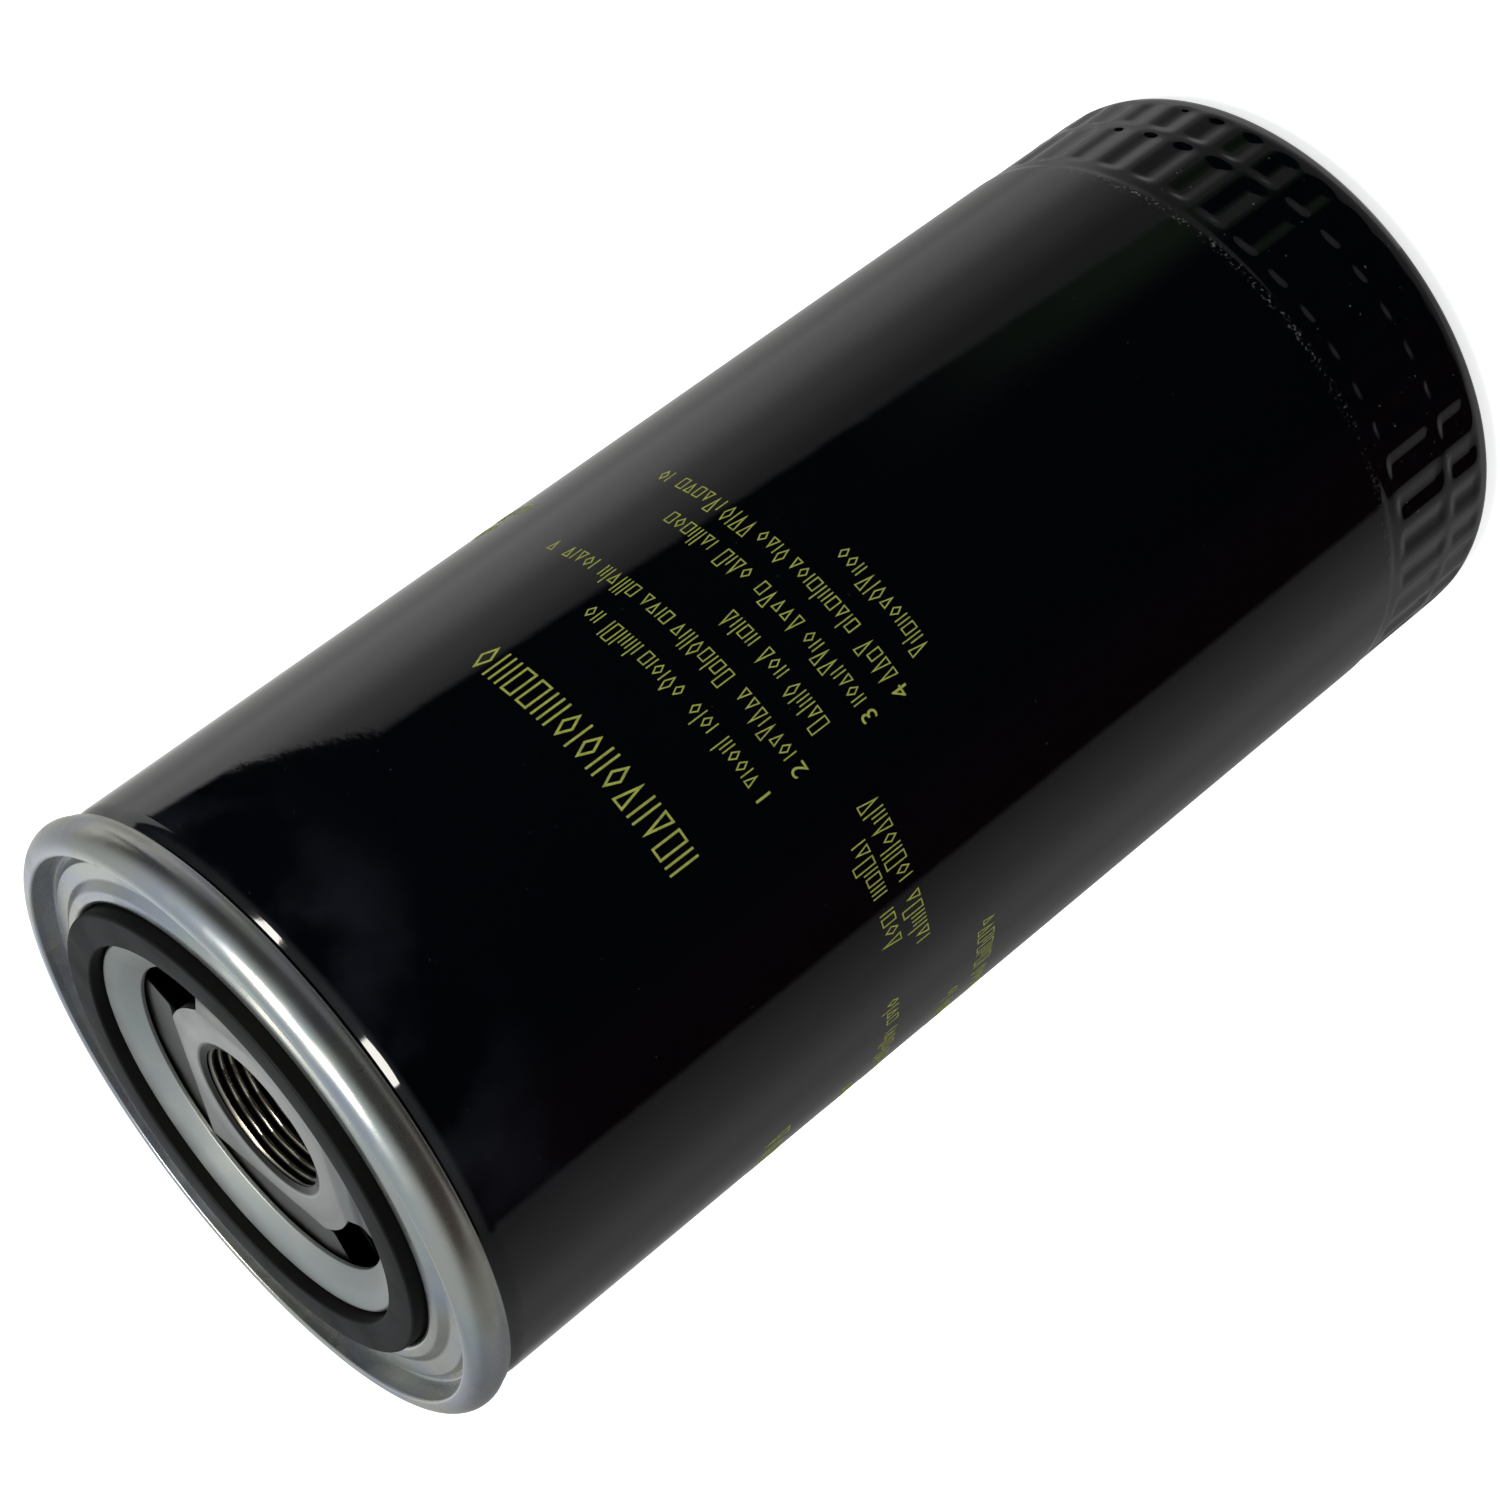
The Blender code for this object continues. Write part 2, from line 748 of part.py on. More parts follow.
def bypass_retainer():
    """A bridge across the body's mouth with three flow windows; the spring pushes against it."""
    low = VALVE_TOP - 2.2
    radius = VALVE_BODY_R - VALVE_SHEET - GAP
    profile = [(0.0, low + 1.0), (radius, low + 1.0), (radius, low), (0.0, low)]
    obj = turned("bypass_retainer", profile, COARSE, VALVE_STEEL)
    work = bmesh.new()
    window_r = 2.2
    for k in range(3):
        a = 2 * math.pi * k / 3 + math.pi / 6
        made = bmesh.ops.create_cone(
            work,
            cap_ends=True,
            segments=10,
            radius1=window_r * MM,
            radius2=window_r * MM,
            depth=4 * MM,
        )
        reach = radius - window_r - 0.6
        place = Vector((reach * math.cos(a), reach * math.sin(a), low + 0.5)) * MM
        bmesh.ops.translate(work, verts=made["verts"], vec=place)
    mesh = bpy.data.meshes.new("windows")
    work.to_mesh(mesh)
    work.free()
    boolean(obj, cutter("windows", mesh), "DIFFERENCE")
    settled(obj)
    smooth(obj)
    return obj


def bypass_spring():
    low = disc_low() + 1.2 + GAP
    high = VALVE_TOP - 2.2 - GAP
    mesh = coil_mesh("bypass_spring", BYPASS_COIL_R, BYPASS_WIRE, low, high, BYPASS_COILS, 12)
    obj = piece("bypass_spring", mesh, SPRING_STEEL)
    smooth(obj, math.radians(60))
    return obj


# --- Element support ------------------------------------------------------------------------


def spring_cup():
    """A pressed washer on the closed end; its collar keeps the support spring in the middle."""
    collar_out = SUPPORT_COIL_R - SUPPORT_WIRE / 2 - 0.7
    collar_in = collar_out - 0.8
    profile = [
        (collar_out, CUP_Z + 5),
        (collar_out, CUP_Z + 0.8),
        (CUP_R, CUP_Z + 0.8),
        (CUP_R, CUP_Z),
        (collar_in, CUP_Z),
        (collar_in, CUP_Z + 5),
    ]
    obj = turned("spring_cup", profile, COARSE, TINPLATE)
    smooth(obj)
    return obj


def support_spring():
    low = CUP_Z + 0.8 + GAP
    high = BOTTOM_CAP_Z - GAP
    mesh = coil_mesh(
        "support_spring", SUPPORT_COIL_R, SUPPORT_WIRE, low, high, SUPPORT_COILS, 14
    )
    obj = piece("support_spring", mesh, SPRING_STEEL)
    smooth(obj, math.radians(60))
    return obj


def main():
    clear_scene()
    can_body()
    seaming_lid()
    sealing_gasket()
    seam_compound()
    base_plate()
    anti_drain_valve()
    element_seal()
    element_top_cap()
    element_bottom_cap()
    glue_low = BOTTOM_CAP_Z + CAP_SHEET + GAP
    potting("bottom_potting", glue_low)
    potting("top_potting", TOP_CAP_Z - CAP_SHEET - GAP - GLUE_DEPTH)
    pleated_media()
    media_seam_clip()
    centre_tube()
    bypass_body()
    bypass_seal()
    bypass_disc()
    bypass_retainer()
    bypass_spring()
    spring_cup()
    support_spring()


main()
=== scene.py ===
"""Looks of the spin-on oil filter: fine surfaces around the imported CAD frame, materials, stage and camera.

Metres, +Z along the filter's axis to its threaded end. Profiles are in millimetres until they
become meshes.
"""

import math
import random

import bmesh
import bpy
import numpy as np
from mathutils import Matrix, Vector


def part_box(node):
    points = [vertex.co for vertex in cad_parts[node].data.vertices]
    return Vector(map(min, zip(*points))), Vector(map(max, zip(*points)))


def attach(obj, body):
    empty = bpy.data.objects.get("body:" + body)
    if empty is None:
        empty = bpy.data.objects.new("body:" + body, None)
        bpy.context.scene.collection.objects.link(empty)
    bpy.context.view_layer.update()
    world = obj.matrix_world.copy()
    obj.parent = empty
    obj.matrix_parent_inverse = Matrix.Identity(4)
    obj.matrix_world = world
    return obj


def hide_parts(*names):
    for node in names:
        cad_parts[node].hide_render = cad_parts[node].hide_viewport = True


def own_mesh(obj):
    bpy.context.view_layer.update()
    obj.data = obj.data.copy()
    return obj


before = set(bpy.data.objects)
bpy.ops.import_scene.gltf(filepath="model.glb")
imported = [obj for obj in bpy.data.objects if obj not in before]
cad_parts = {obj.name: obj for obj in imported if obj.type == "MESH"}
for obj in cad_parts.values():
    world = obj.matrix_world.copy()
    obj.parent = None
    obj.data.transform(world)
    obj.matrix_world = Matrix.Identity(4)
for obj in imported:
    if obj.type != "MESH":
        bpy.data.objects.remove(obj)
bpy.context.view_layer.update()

MM = 0.001
TAU = 2 * math.pi


# --- Sizes read from the frame, in millimetres ----------------------------------------------


def outer_radius(node):
    low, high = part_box(node)
    return (high.x - low.x) / 2 / MM


def top_of(node):
    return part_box(node)[1].z / MM


def bottom_of(node):
    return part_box(node)[0].z / MM


CAN_R = outer_radius("can_body")
SEAM_R = outer_radius("seaming_lid")
SEAM_TOP = top_of("seaming_lid")
SEAM_BOTTOM = bottom_of("seaming_lid")
GASKET_OUT = outer_radius("sealing_gasket")
GASKET_TOP = top_of("sealing_gasket")
GASKET_BOTTOM = bottom_of("sealing_gasket")
GASKET_IN = GASKET_OUT - 5.1
PLATE_R = outer_radius("base_plate")
HUB_BOTTOM = bottom_of("base_plate")

FLUTES = 44
FLUTE_PHASE = 0.837  # where the first flute's middle stands, in flute pitches from +X
CORNER_R = 9.0
NECK_R = CAN_R - 0.7
LID_HOLE_R = 25.1
PLATEAU_TOP = GASKET_TOP - 4.0
PLATE_RIM = GASKET_TOP - 5.1
PLATE_SEAT = GASKET_TOP - 6.0
PLATE_BOTTOM = GASKET_TOP - 9.0
HUB_R = 15.2
ROLL_R = 3.3  # the rounding of the lid's rolled edge
THREAD_ROOT = 12.0
THREAD_CREST = 11.2
THREAD_PITCH = 1.5


# --- Mesh helpers ---------------------------------------------------------------------------


def new_object(name, mesh, material, body="can"):
    mesh.materials.clear()
    mesh.materials.append(material)
    obj = bpy.data.objects.new(name, mesh)
    bpy.context.scene.collection.objects.link(obj)
    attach(obj, body)
    return obj


def filleted(corners, step_angle=12.0):
    """A path through (radius, height, fillet) corners, with every fillet as an arc."""
    points = []
    count = len(corners)
    for i, (r, z, fillet) in enumerate(corners):
        here = np.array([r, z])
        before = np.array(corners[(i - 1) % count][:2])
        after = np.array(corners[(i + 1) % count][:2])
        if fillet <= 0 or (r == 0 and i in (0, count - 1)):
            points.append(here)
            continue
        a = (before - here) / np.linalg.norm(before - here)
        b = (after - here) / np.linalg.norm(after - here)
        half = math.acos(max(-1.0, min(1.0, float(a @ b)))) / 2
        if half > math.radians(89):
            points.append(here)
            continue
        reach = min(
            fillet / math.tan(half),
            0.49 * np.linalg.norm(before - here),
            0.49 * np.linalg.norm(after - here),
        )
        radius = reach * math.tan(half)
        middle = here + (a + b) / np.linalg.norm(a + b) * radius / math.sin(half)
        start, end = here + a * reach - middle, here + b * reach - middle
        sweep = math.atan2(start[0] * end[1] - start[1] * end[0], float(start @ end))
        steps = max(2, int(abs(math.degrees(sweep)) / step_angle) + 1)
        for k in range(steps + 1):
            c, s = math.cos(sweep * k / steps), math.sin(sweep * k / steps)
            points.append(middle + np.array([start[0] * c - start[1] * s, start[0] * s + start[1] * c]))
    return np.array(points)


def arc(r, z, radius, start, end, steps):
    """Corners along an arc about (r, z), without fillets of their own."""
    angles = [start + (end - start) * k / steps for k in range(steps + 1)]
    return [(r + radius * math.cos(a), z + radius * math.sin(a), 0) for a in angles]


def resampled(path, spacing, closed):
    """The path with extra points, so that no step is longer than spacing(point)."""
    points = []
    count = len(path)
    for i in range(count if closed else count - 1):
        a, b = path[i], path[(i + 1) % count]
        pieces = max(1, math.ceil(np.linalg.norm(b - a) / spacing((a + b) / 2)))
        points.extend(a + (b - a) * k / pieces for k in range(pieces))
    if not closed:
        points.append(path[-1])
    return np.array(points)


def lathe(name, path, steps, shape=None):
    """Turns a path about Z. A closed path makes a ring; a path that ends on the axis at both ends makes
    a solid. shape(theta, r, z) may move the points; it returns new r and z."""
    on_axis = path[0][0] == 0
    theta = np.arange(steps) * TAU / steps
    inner = path[1:-1] if on_axis else path
    r = np.repeat(inner[:, :1], steps, 1)
    z = np.repeat(inner[:, 1:], steps, 1)
    if shape:
        r, z = shape(np.repeat(theta[None], len(inner), 0), r, z)
    co = np.stack([r * np.cos(theta), r * np.sin(theta), z], -1).reshape(-1, 3)
    rows = len(inner)
    row = np.arange(rows - 1 if on_axis else rows)
    col = np.arange(steps)
    a = row[:, None] * steps + col
    b = row[:, None] * steps + (col + 1) % steps
    c = ((row[:, None] + 1) % rows) * steps + (col + 1) % steps
    d = ((row[:, None] + 1) % rows) * steps + col
    faces = np.stack([a, d, c, b], -1).reshape(-1, 4).tolist()
    if on_axis:
        first, last = len(co), len(co) + 1
        co = np.vstack([co, [0, 0, path[0][1]], [0, 0, path[-1][1]]])
        faces += [(int(k), int((k + 1) % steps), first) for k in col]
        base = (rows - 1) * steps
        faces += [(int(base + (k + 1) % steps), int(base + k), last) for k in col]
    mesh = bpy.data.meshes.new(name)
    mesh.from_pydata((co * MM).tolist(), [], faces)
    work = bmesh.new()
    work.from_mesh(mesh)
    bmesh.ops.recalc_face_normals(work, faces=work.faces)
    work.to_mesh(mesh)
    work.free()
    mesh.shade_smooth()
    return mesh


def smoothstep(x):
    x = np.clip(x, 0, 1)
    return x * x * (3 - 2 * x)


# --- Material helpers -----------------------------------------------------------------------


class Nodes:
    """Builds one material's nodes: add() makes a node, and its arguments set or link its inputs."""

    def __init__(self, name):
        self.material = bpy.data.materials.new(name)
        self.material.use_nodes = True
        self.tree = self.material.node_tree
        self.shader = self.tree.nodes["Principled BSDF"]
        self.object_space = self.add("ShaderNodeTexCoord").outputs["Object"]

    def add(self, kind, inputs=None, **settings):
        node = self.tree.nodes.new(kind)
        for key, value in settings.items():
            setattr(node, key, value)
        for key, value in (inputs or {}).items():
            self.put(node.inputs[key], value)
        return node

    def put(self, socket, value):
        if isinstance(value, bpy.types.NodeSocket):
            self.tree.links.new(value, socket)
        else:
            socket.default_value = value

    def set(self, **inputs):
        for key, value in inputs.items():
            self.put(self.shader.inputs[key.replace("_", " ")], value)

    def noise(self, scale, detail=3.0, where=None, roughness=0.5):
        where = where or self.object_space
        inputs = {"Scale": scale, "Detail": detail, "Roughness": roughness, "Vector": where}
        return self.add("ShaderNodeTexNoise", inputs).outputs["Fac"]

    def stretched(self, x, y, z):
        return self.add(
            "ShaderNodeMapping", {"Vector": self.object_space, "Scale": (x, y, z)}
        ).outputs["Vector"]

    def span(self, value, low, high, to_low=0.0, to_high=1.0):
        inputs = {"Value": value, "From Min": low, "From Max": high, "To Min": to_low, "To Max": to_high}
        return self.add("ShaderNodeMapRange", inputs).outputs["Result"]

    def mix(self, factor, a, b):
        node = self.add("ShaderNodeMix", data_type="RGBA")
        self.put(node.inputs["Factor"], factor)
        self.put(node.inputs["A"], a)
        self.put(node.inputs["B"], b)
        return node.outputs["Result"]

    def math(self, operation, a, b=0.0):
        return self.add("ShaderNodeMath", {0: a, 1: b}, operation=operation).outputs[0]

    def ramp(self, value, stops):
        node = self.add("ShaderNodeValToRGB", {"Fac": value})
        ramp = node.color_ramp
        while len(ramp.elements) < len(stops):
            ramp.elements.new(1.0)
        for element, (place, colour) in zip(ramp.elements, stops):
            element.position = place
            element.color = colour
        return node.outputs["Color"]

    def bump(self, height, depth, under=None):
        inputs = {"Height": height, "Distance": depth, "Strength": 1.0}
        if under:
            inputs["Normal"] = under
        return self.add("ShaderNodeBump", inputs).outputs["Normal"]

    def radius(self):
        """Distance from the filter's axis."""
        flat = self.add("ShaderNodeVectorMath", {0: self.object_space, 1: (1, 1, 0)}, operation="MULTIPLY")
        return self.add("ShaderNodeVectorMath", {0: flat.outputs[0]}, operation="LENGTH").outputs["Value"]

    def height(self):
        return self.add("ShaderNodeSeparateXYZ", {"Vector": self.object_space}).outputs["Z"]


def grey(level, warm=0.0):
    return (level * (1 + warm), level, level * (1 - warm), 1.0)


def black_paint():
    """Stove enamel: a deep gloss with fine orange peel, dust, faint smudges and scuffs by the flutes."""
    m = Nodes("black_paint")
    height = m.height()
    peel = m.noise(620.0, 2.0)
    wave = m.noise(95.0, 1.0)
    normal = m.bump(wave, 0.00002, m.bump(peel, 0.000004))
    smudge = m.span(m.noise(38.0, 4.0), 0.6, 0.8)
    handled = m.math("MULTIPLY", m.span(height, 0.182, 0.2), m.span(m.noise(60.0, 5.0), 0.5, 0.72))
    dust = m.span(m.noise(2600.0, 0.0), 0.86, 0.88, 0.0, 0.3)
    ring = m.math("MULTIPLY", m.span(height, 0.0268, 0.0276), m.span(height, 0.0288, 0.0279))
    scuff = m.math("MULTIPLY", ring, m.span(m.noise(1900.0, 2.0), 0.56, 0.7))
    scuff = m.math("MULTIPLY", scuff, m.span(m.noise(14.0, 1.0), 0.42, 0.6, 0.05, 1.0))
    chips = m.math("MULTIPLY", m.span(height, 0.0262, 0.0245), m.span(m.noise(1300.0, 2.0), 0.73, 0.78))
    marks = m.math("MAXIMUM", dust, m.math("MAXIMUM", scuff, m.math("MULTIPLY", chips, 0.8)))
    colour = m.mix(m.math("MULTIPLY", marks, 0.3), (0.0004, 0.0005, 0.0009, 1), grey(0.13))
    colour = m.mix(m.math("MULTIPLY", handled, 0.012), colour, (0.25, 0.3, 0.42, 1))
    roughness = m.math("ADD", m.math("MULTIPLY", smudge, 0.03), m.math("MULTIPLY", marks, 0.4))
    roughness = m.math("ADD", roughness, m.math("MULTIPLY", handled, 0.06))
    m.set(Base_Color=colour, Roughness=m.math("ADD", roughness, 0.035), Normal=normal)
    m.set(IOR=1.5)
    return m.material


def zinc():
    """Zinc plating on the lid: satin on the roll, milky on the flange, with a faint film of colour."""
    m = Nodes("zinc_plate")
    radius = m.radius()
    cloud = m.noise(55.0, 4.0)
    film = m.ramp(
        m.noise(34.0, 2.0, m.stretched(1, 1, 3)),
        [
            (0.35, (0.42, 0.415, 0.37, 1)),
            (0.46, (0.39, 0.415, 0.395, 1)),
            (0.54, (0.37, 0.385, 0.43, 1)),
            (0.62, (0.41, 0.41, 0.37, 1)),
        ],
    )
    matt = m.span(radius, 0.0306, 0.0309, 1.0, 0.0)
    flange = m.mix(cloud, (0.29, 0.305, 0.295, 1), (0.33, 0.345, 0.33, 1))
    section = m.add("ShaderNodeCombineXYZ", {"X": radius, "Y": m.height()}).outputs[0]
    inputs = {"Vector": section, "Scale": 5200.0}
    lines = m.add("ShaderNodeTexNoise", inputs, noise_dimensions="2D").outputs["Fac"]
    stain = m.span(m.noise(210.0, 6.0), 0.5, 0.75)
    colour = m.mix(matt, film, flange)
    colour = m.mix(m.math("MULTIPLY", stain, 0.3), colour, (0.3, 0.3, 0.27, 1))
    roughness = m.math("ADD", m.math("MULTIPLY", cloud, 0.12), 0.2)
    roughness = m.math("ADD", roughness, m.math("MULTIPLY", stain, 0.12))
    roughness = m.math("ADD", roughness, m.math("MULTIPLY", matt, 0.2))
    normal = m.bump(m.noise(420.0, 3.0), 0.000006, m.bump(lines, 0.0000016))
    m.set(Base_Color=colour, Metallic=0.95, Roughness=roughness, Normal=normal)
    return m.material


def plate_steel():
    """Bare pressed steel, painted black as shade deep in its inlets, with a painted highlight on the
    thread's crests and painted shade in its roots.
    """
    m = Nodes("plate_steel")
    radius = m.radius()
    cloud = m.noise(70.0, 5.0)
    thread = m.span(radius, 0.0124, 0.0128, 1.0, 0.0)
    sheet = m.mix(cloud, (0.28, 0.268, 0.25, 1), (0.38, 0.37, 0.35, 1))
    sheet = m.mix(m.span(radius, 0.0168, 0.0150, 0.0, 0.45), sheet, (0.44, 0.43, 0.41, 1))
    # Painted highlight on the thread's crests (pale warm) and painted shade in its roots (near black),
    # chosen by radius.
    cut = m.mix(m.span(radius, 0.01125, 0.0116), (0.36, 0.33, 0.27, 1), (0.02, 0.018, 0.014, 1))
    roughness = m.span(m.noise(180.0, 4.0), 0.3, 0.7, 0.3, 0.44)
    roughness = m.math("SUBTRACT", roughness, m.math("MULTIPLY", thread, 0.06))
    normal = m.bump(m.noise(1500.0, 4.0), 0.000006)
    # Painted shade: near-black colour on the plate's surfaces deep inside the inlets, within these heights
    # and radii.
    depth = m.math("MULTIPLY", m.span(m.height(), 0.2011, 0.2014), m.span(m.height(), 0.2054, 0.2046))
    reach = m.math("MULTIPLY", m.span(radius, 0.0175, 0.018), m.span(radius, 0.0305, 0.03))
    inlet_shade = m.math("MULTIPLY", depth, reach)
    colour = m.mix(thread, m.mix(inlet_shade, sheet, grey(0.004)), cut)
    m.set(Base_Color=colour, Metallic=1.0, Roughness=roughness, Normal=normal)
    return m.material


def rubber(name, tone, gloss=0.28):
    """Moulded rubber with a fine grain, and a pale bloom in places."""
    m = Nodes(name)
    bloom = m.span(m.noise(120.0, 5.0), 0.45, 0.75, 0.0, 1.0)
    grain = m.noise(2400.0, 3.0)
    colour = m.mix(bloom, grey(tone, 0.02), grey(tone * 1.6, 0.03))
    m.set(Base_Color=colour, Roughness=m.span(bloom, 0, 1, 0.52, 0.64), Normal=m.bump(grain, 0.00001))
    m.set(Specular_IOR_Level=gloss)
    return m.material


def print_ink():
    """Thin screen-printed ink with slightly uneven cover."""
    m = Nodes("print_ink")
    cover = m.span(m.noise(1600.0, 3.0), 0.3, 0.7, 0.5, 1.0)
    colour = m.mix(cover, (0.07, 0.08, 0.015, 1), (0.25, 0.27, 0.03, 1))
    m.set(Base_Color=colour, Roughness=0.4)
    return m.material


def sheet_metal(name, colour, roughness, scale=60.0):
    m = Nodes(name)
    low = tuple(c * 0.8 for c in colour) + (1,)
    high = tuple(min(1.0, c * 1.1) for c in colour) + (1,)
    spread = m.noise(scale, 4.0)
    m.set(
        Base_Color=m.mix(spread, low, high),
        Metallic=1.0,
        Roughness=m.span(spread, 0.3, 0.7, roughness - 0.06, roughness + 0.08),
        Normal=m.bump(m.noise(scale * 20, 3.0), 0.000005),
    )
    return m.material


def filter_paper():
    """Resin-treated paper: warm fibres and a fine embossing along the pleats."""
    m = Nodes("filter_paper")
    fibre = m.noise(900.0, 6.0, m.stretched(1, 1, 0.35))
    colour = m.mix(fibre, (0.55, 0.38, 0.17, 1), (0.78, 0.6, 0.34, 1))
    m.set(Base_Color=colour, Roughness=0.9, Normal=m.bump(fibre, 0.00004))
    return m.material


def adhesive(name, colour):
    m = Nodes(name)
    low = tuple(c * 0.75 for c in colour) + (1,)
    m.set(Base_Color=m.mix(m.noise(140.0, 4.0), low, (*colour, 1)), Roughness=0.45)
    m.set(Normal=m.bump(m.noise(260.0, 3.0), 0.00003))
    return m.material


# --- Can ------------------------------------------------------------------------------------

FLUTE_ROWS = ((19.3, 3.9), (9.5, 2.1))  # middle and half length along the wall, in mm
FLUTE_END = 1.7  # length of the slope at a flute's ends
FLUTE_DEPTH = 0.44
FLUTE_SHARPNESS = 1.15  # 1 makes the ribs and flutes a plain wave; more makes the ribs broader
FINE_TOP = 29.0  # the wall below this height has a fine mesh
SHOULDER_Z = 27.4  # the fluted band is a touch slimmer than the wall above it
SHOULDER = 0.14
SHOULDER_LENGTH = 1.2
CAN_WALL = 1.0
FLUTED_WALL = 1.9
DOME_Z = 2.4  # how far the middle of the closed end stands in


def can_path():
    """The can's wall, from the middle of the closed end's inside, over the neck, to its outside."""
    rim = SEAM_BOTTOM + 1.8
    neck_top, neck_low = SEAM_BOTTOM - 0.6, SEAM_BOTTOM - 2.2
    inner = [
        (0.0, DOME_Z + CAN_WALL, 0),
        (29.2, DOME_Z + CAN_WALL, 3.0),
        (33.2, CAN_WALL, 2.0),
        (CAN_R - FLUTED_WALL, CAN_WALL + 0.6, CORNER_R),
        (CAN_R - FLUTED_WALL, 27.0, 3.0),
        (CAN_R - CAN_WALL, 31.0, 3.0),
        (CAN_R - CAN_WALL, neck_low, 2.0),
        (NECK_R - CAN_WALL, neck_top, 1.0),
        (NECK_R - CAN_WALL, rim, 0),
    ]
    outer = [
        (NECK_R, rim, 0),
        (NECK_R, neck_top, 0.4),
        (CAN_R, neck_low, 4.0),
        (CAN_R, FINE_TOP, 0),
        (CAN_R, 0.0, CORNER_R),
        (33.2, 0.0, 2.5),
        (29.6, DOME_Z, 3.0),
        (0.0, DOME_Z, 0),
    ]
    return [*inner, *outer]


def flute_share(theta, z, r):
    """How far into a flute a point of the wall lies: 0 on the ribs, 1 along the flutes' middles."""
    across = 0.5 + 0.5 * np.cos(theta * FLUTES - FLUTE_PHASE * TAU)
    swing = np.arctan2(CORNER_R - z, np.maximum(r - (CAN_R - CORNER_R), 1e-6))
    along = np.where(z >= CORNER_R, z, CORNER_R - CORNER_R * swing)
    share = np.zeros_like(theta)
    for middle, half in FLUTE_ROWS:
        share = np.maximum(share, smoothstep(1 - (np.abs(along - middle) - half) / FLUTE_END))
    return share * across**FLUTE_SHARPNESS


def can_shape(theta, r, z):
    """Presses soft flutes into the outer wall below a faint shoulder."""
    outer = (z < FINE_TOP - 0.01) & (r > CAN_R - CORNER_R) & (r > CAN_R - 1.5 + np.clip(z, -9, 0))
    inside = np.clip(CORNER_R**2 - (r - (CAN_R - CORNER_R)) ** 2, 0, None)
    corner_z = CORNER_R - np.sqrt(inside)
    outer |= (z < CORNER_R) & (r > CAN_R - CORNER_R) & (z < corner_z + 0.4)
    slimmer = SHOULDER * smoothstep((SHOULDER_Z - z) / SHOULDER_LENGTH)
    depth = FLUTE_DEPTH * flute_share(theta, z, r) + slimmer
    depth = np.where(outer, depth, 0.0)
    tilt = np.arcsin(np.clip((CORNER_R - z) / CORNER_R, 0, 1))
    return r - depth * np.cos(tilt), z + depth * np.sin(tilt)


def can_spacing(point):
    """The longest step along the can's path: fine on the fluted band, coarse elsewhere."""
    r, z = point
    return 0.36 if z < FINE_TOP and r > CAN_R - CORNER_R else 12.0


def make_can(material):
    path = resampled(filleted(can_path(), 6.0), can_spacing, closed=False)
    mesh = lathe("can_skin", path, FLUTES * 20, can_shape)
    obj = new_object("can_skin", mesh, material)
    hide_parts("can_body")
    return obj


# --- Lid, gasket, plate ---------------------------------------------------------------------


def make_lid(material):
    """One pressed sheet: hem, roll, chuck wall, step, gasket groove and dished inner flange."""
    groove = GASKET_BOTTOM - 0.3
    skirt_in = CAN_R - 0.3
    chuck_in = CAN_R - 1.7
    corners = [
        *arc(SEAM_R - ROLL_R, SEAM_TOP - ROLL_R, ROLL_R, math.pi / 2, math.radians(-36), 18),
        (SEAM_R - 0.8, SEAM_BOTTOM, 0.5),
        (skirt_in, SEAM_BOTTOM, 0.3),
        (skirt_in, 207.8, 0.2),
        (chuck_in, 207.8, 0.2),
        (chuck_in, 205.3, 0.5),
        (43.0, 204.9, 0.5),
        (41.5, 206.0, 0.4),
        (39.0, 206.1, 0.4),
        (37.3, groove - 0.6, 0.4),
        (30.1, groove - 0.6, 0.5),
        (30.1, 207.5, 0.3),
        (LID_HOLE_R, 205.3, 0.1),
        (LID_HOLE_R, 205.95, 0.25),
        (28.0, 207.6, 6.0),
        (30.7, 208.35, 0.5),
        (30.8, groove, 0.4),
        (36.45, groove, 0.4),
        (36.55, 208.1, 0.7),
        (38.5, 207.8, 0.9),
        (39.8, 206.75, 0.8),
        (42.45, 206.8, 0.35),
        (43.0, 205.8, 0.4),
        (44.1, 205.75, 0.5),
        (44.7, 208.0, 1.0),
        (44.9, SEAM_TOP - 0.1, 0.5),
    ]
    path = filleted(corners, 8.0)
    mesh = lathe("lid_skin", path, 320)
    obj = new_object("lid_skin", mesh, material)
    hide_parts("seaming_lid")


def make_gasket(material):
    """Square-section ring with softly rounded edges and a moulding line on its outer wall."""
    middle = (GASKET_TOP + GASKET_BOTTOM) / 2
    corners = [
        (GASKET_OUT, GASKET_TOP, 0.45),
        (GASKET_OUT, middle + 0.15, 0.05),
        (GASKET_OUT - 0.06, middle, 0.05),
        (GASKET_OUT, middle - 0.15, 0.05),
        (GASKET_OUT, GASKET_BOTTOM, 0.5),
        (GASKET_IN, GASKET_BOTTOM, 0.5),
        (GASKET_IN, GASKET_TOP, 0.4),
    ]
    path = filleted(corners, 15.0)
    mesh = lathe("gasket_skin", path, 256)
    obj = new_object("gasket_skin", mesh, material)
    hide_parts("sealing_gasket")


PLATEAU_HALF = 15.9  # from the axis to a side of the raised square
PLATEAU_SLOPE = 2.6
TOOTH_STEEPNESS = 2.9
TOOTH_CREST = 0.3  # share that flattens the thread's crests
INLET = (18.4, 29.5, math.radians(19))  # inner radius, outer radius and half angle
INLET_STEPS = 24


def plateau_height(theta, r):
    """Height of the plate's top at an angle and radius: rim, facets and raised square, in mm."""
    x, y = r * np.cos(theta), r * np.sin(theta)
    reach = (np.abs(x) + np.abs(y)) / math.sqrt(2)
    facet = smoothstep(1 - (reach - PLATEAU_HALF) / PLATEAU_SLOPE)
    return PLATE_RIM + (PLATEAU_TOP - PLATE_RIM) * facet


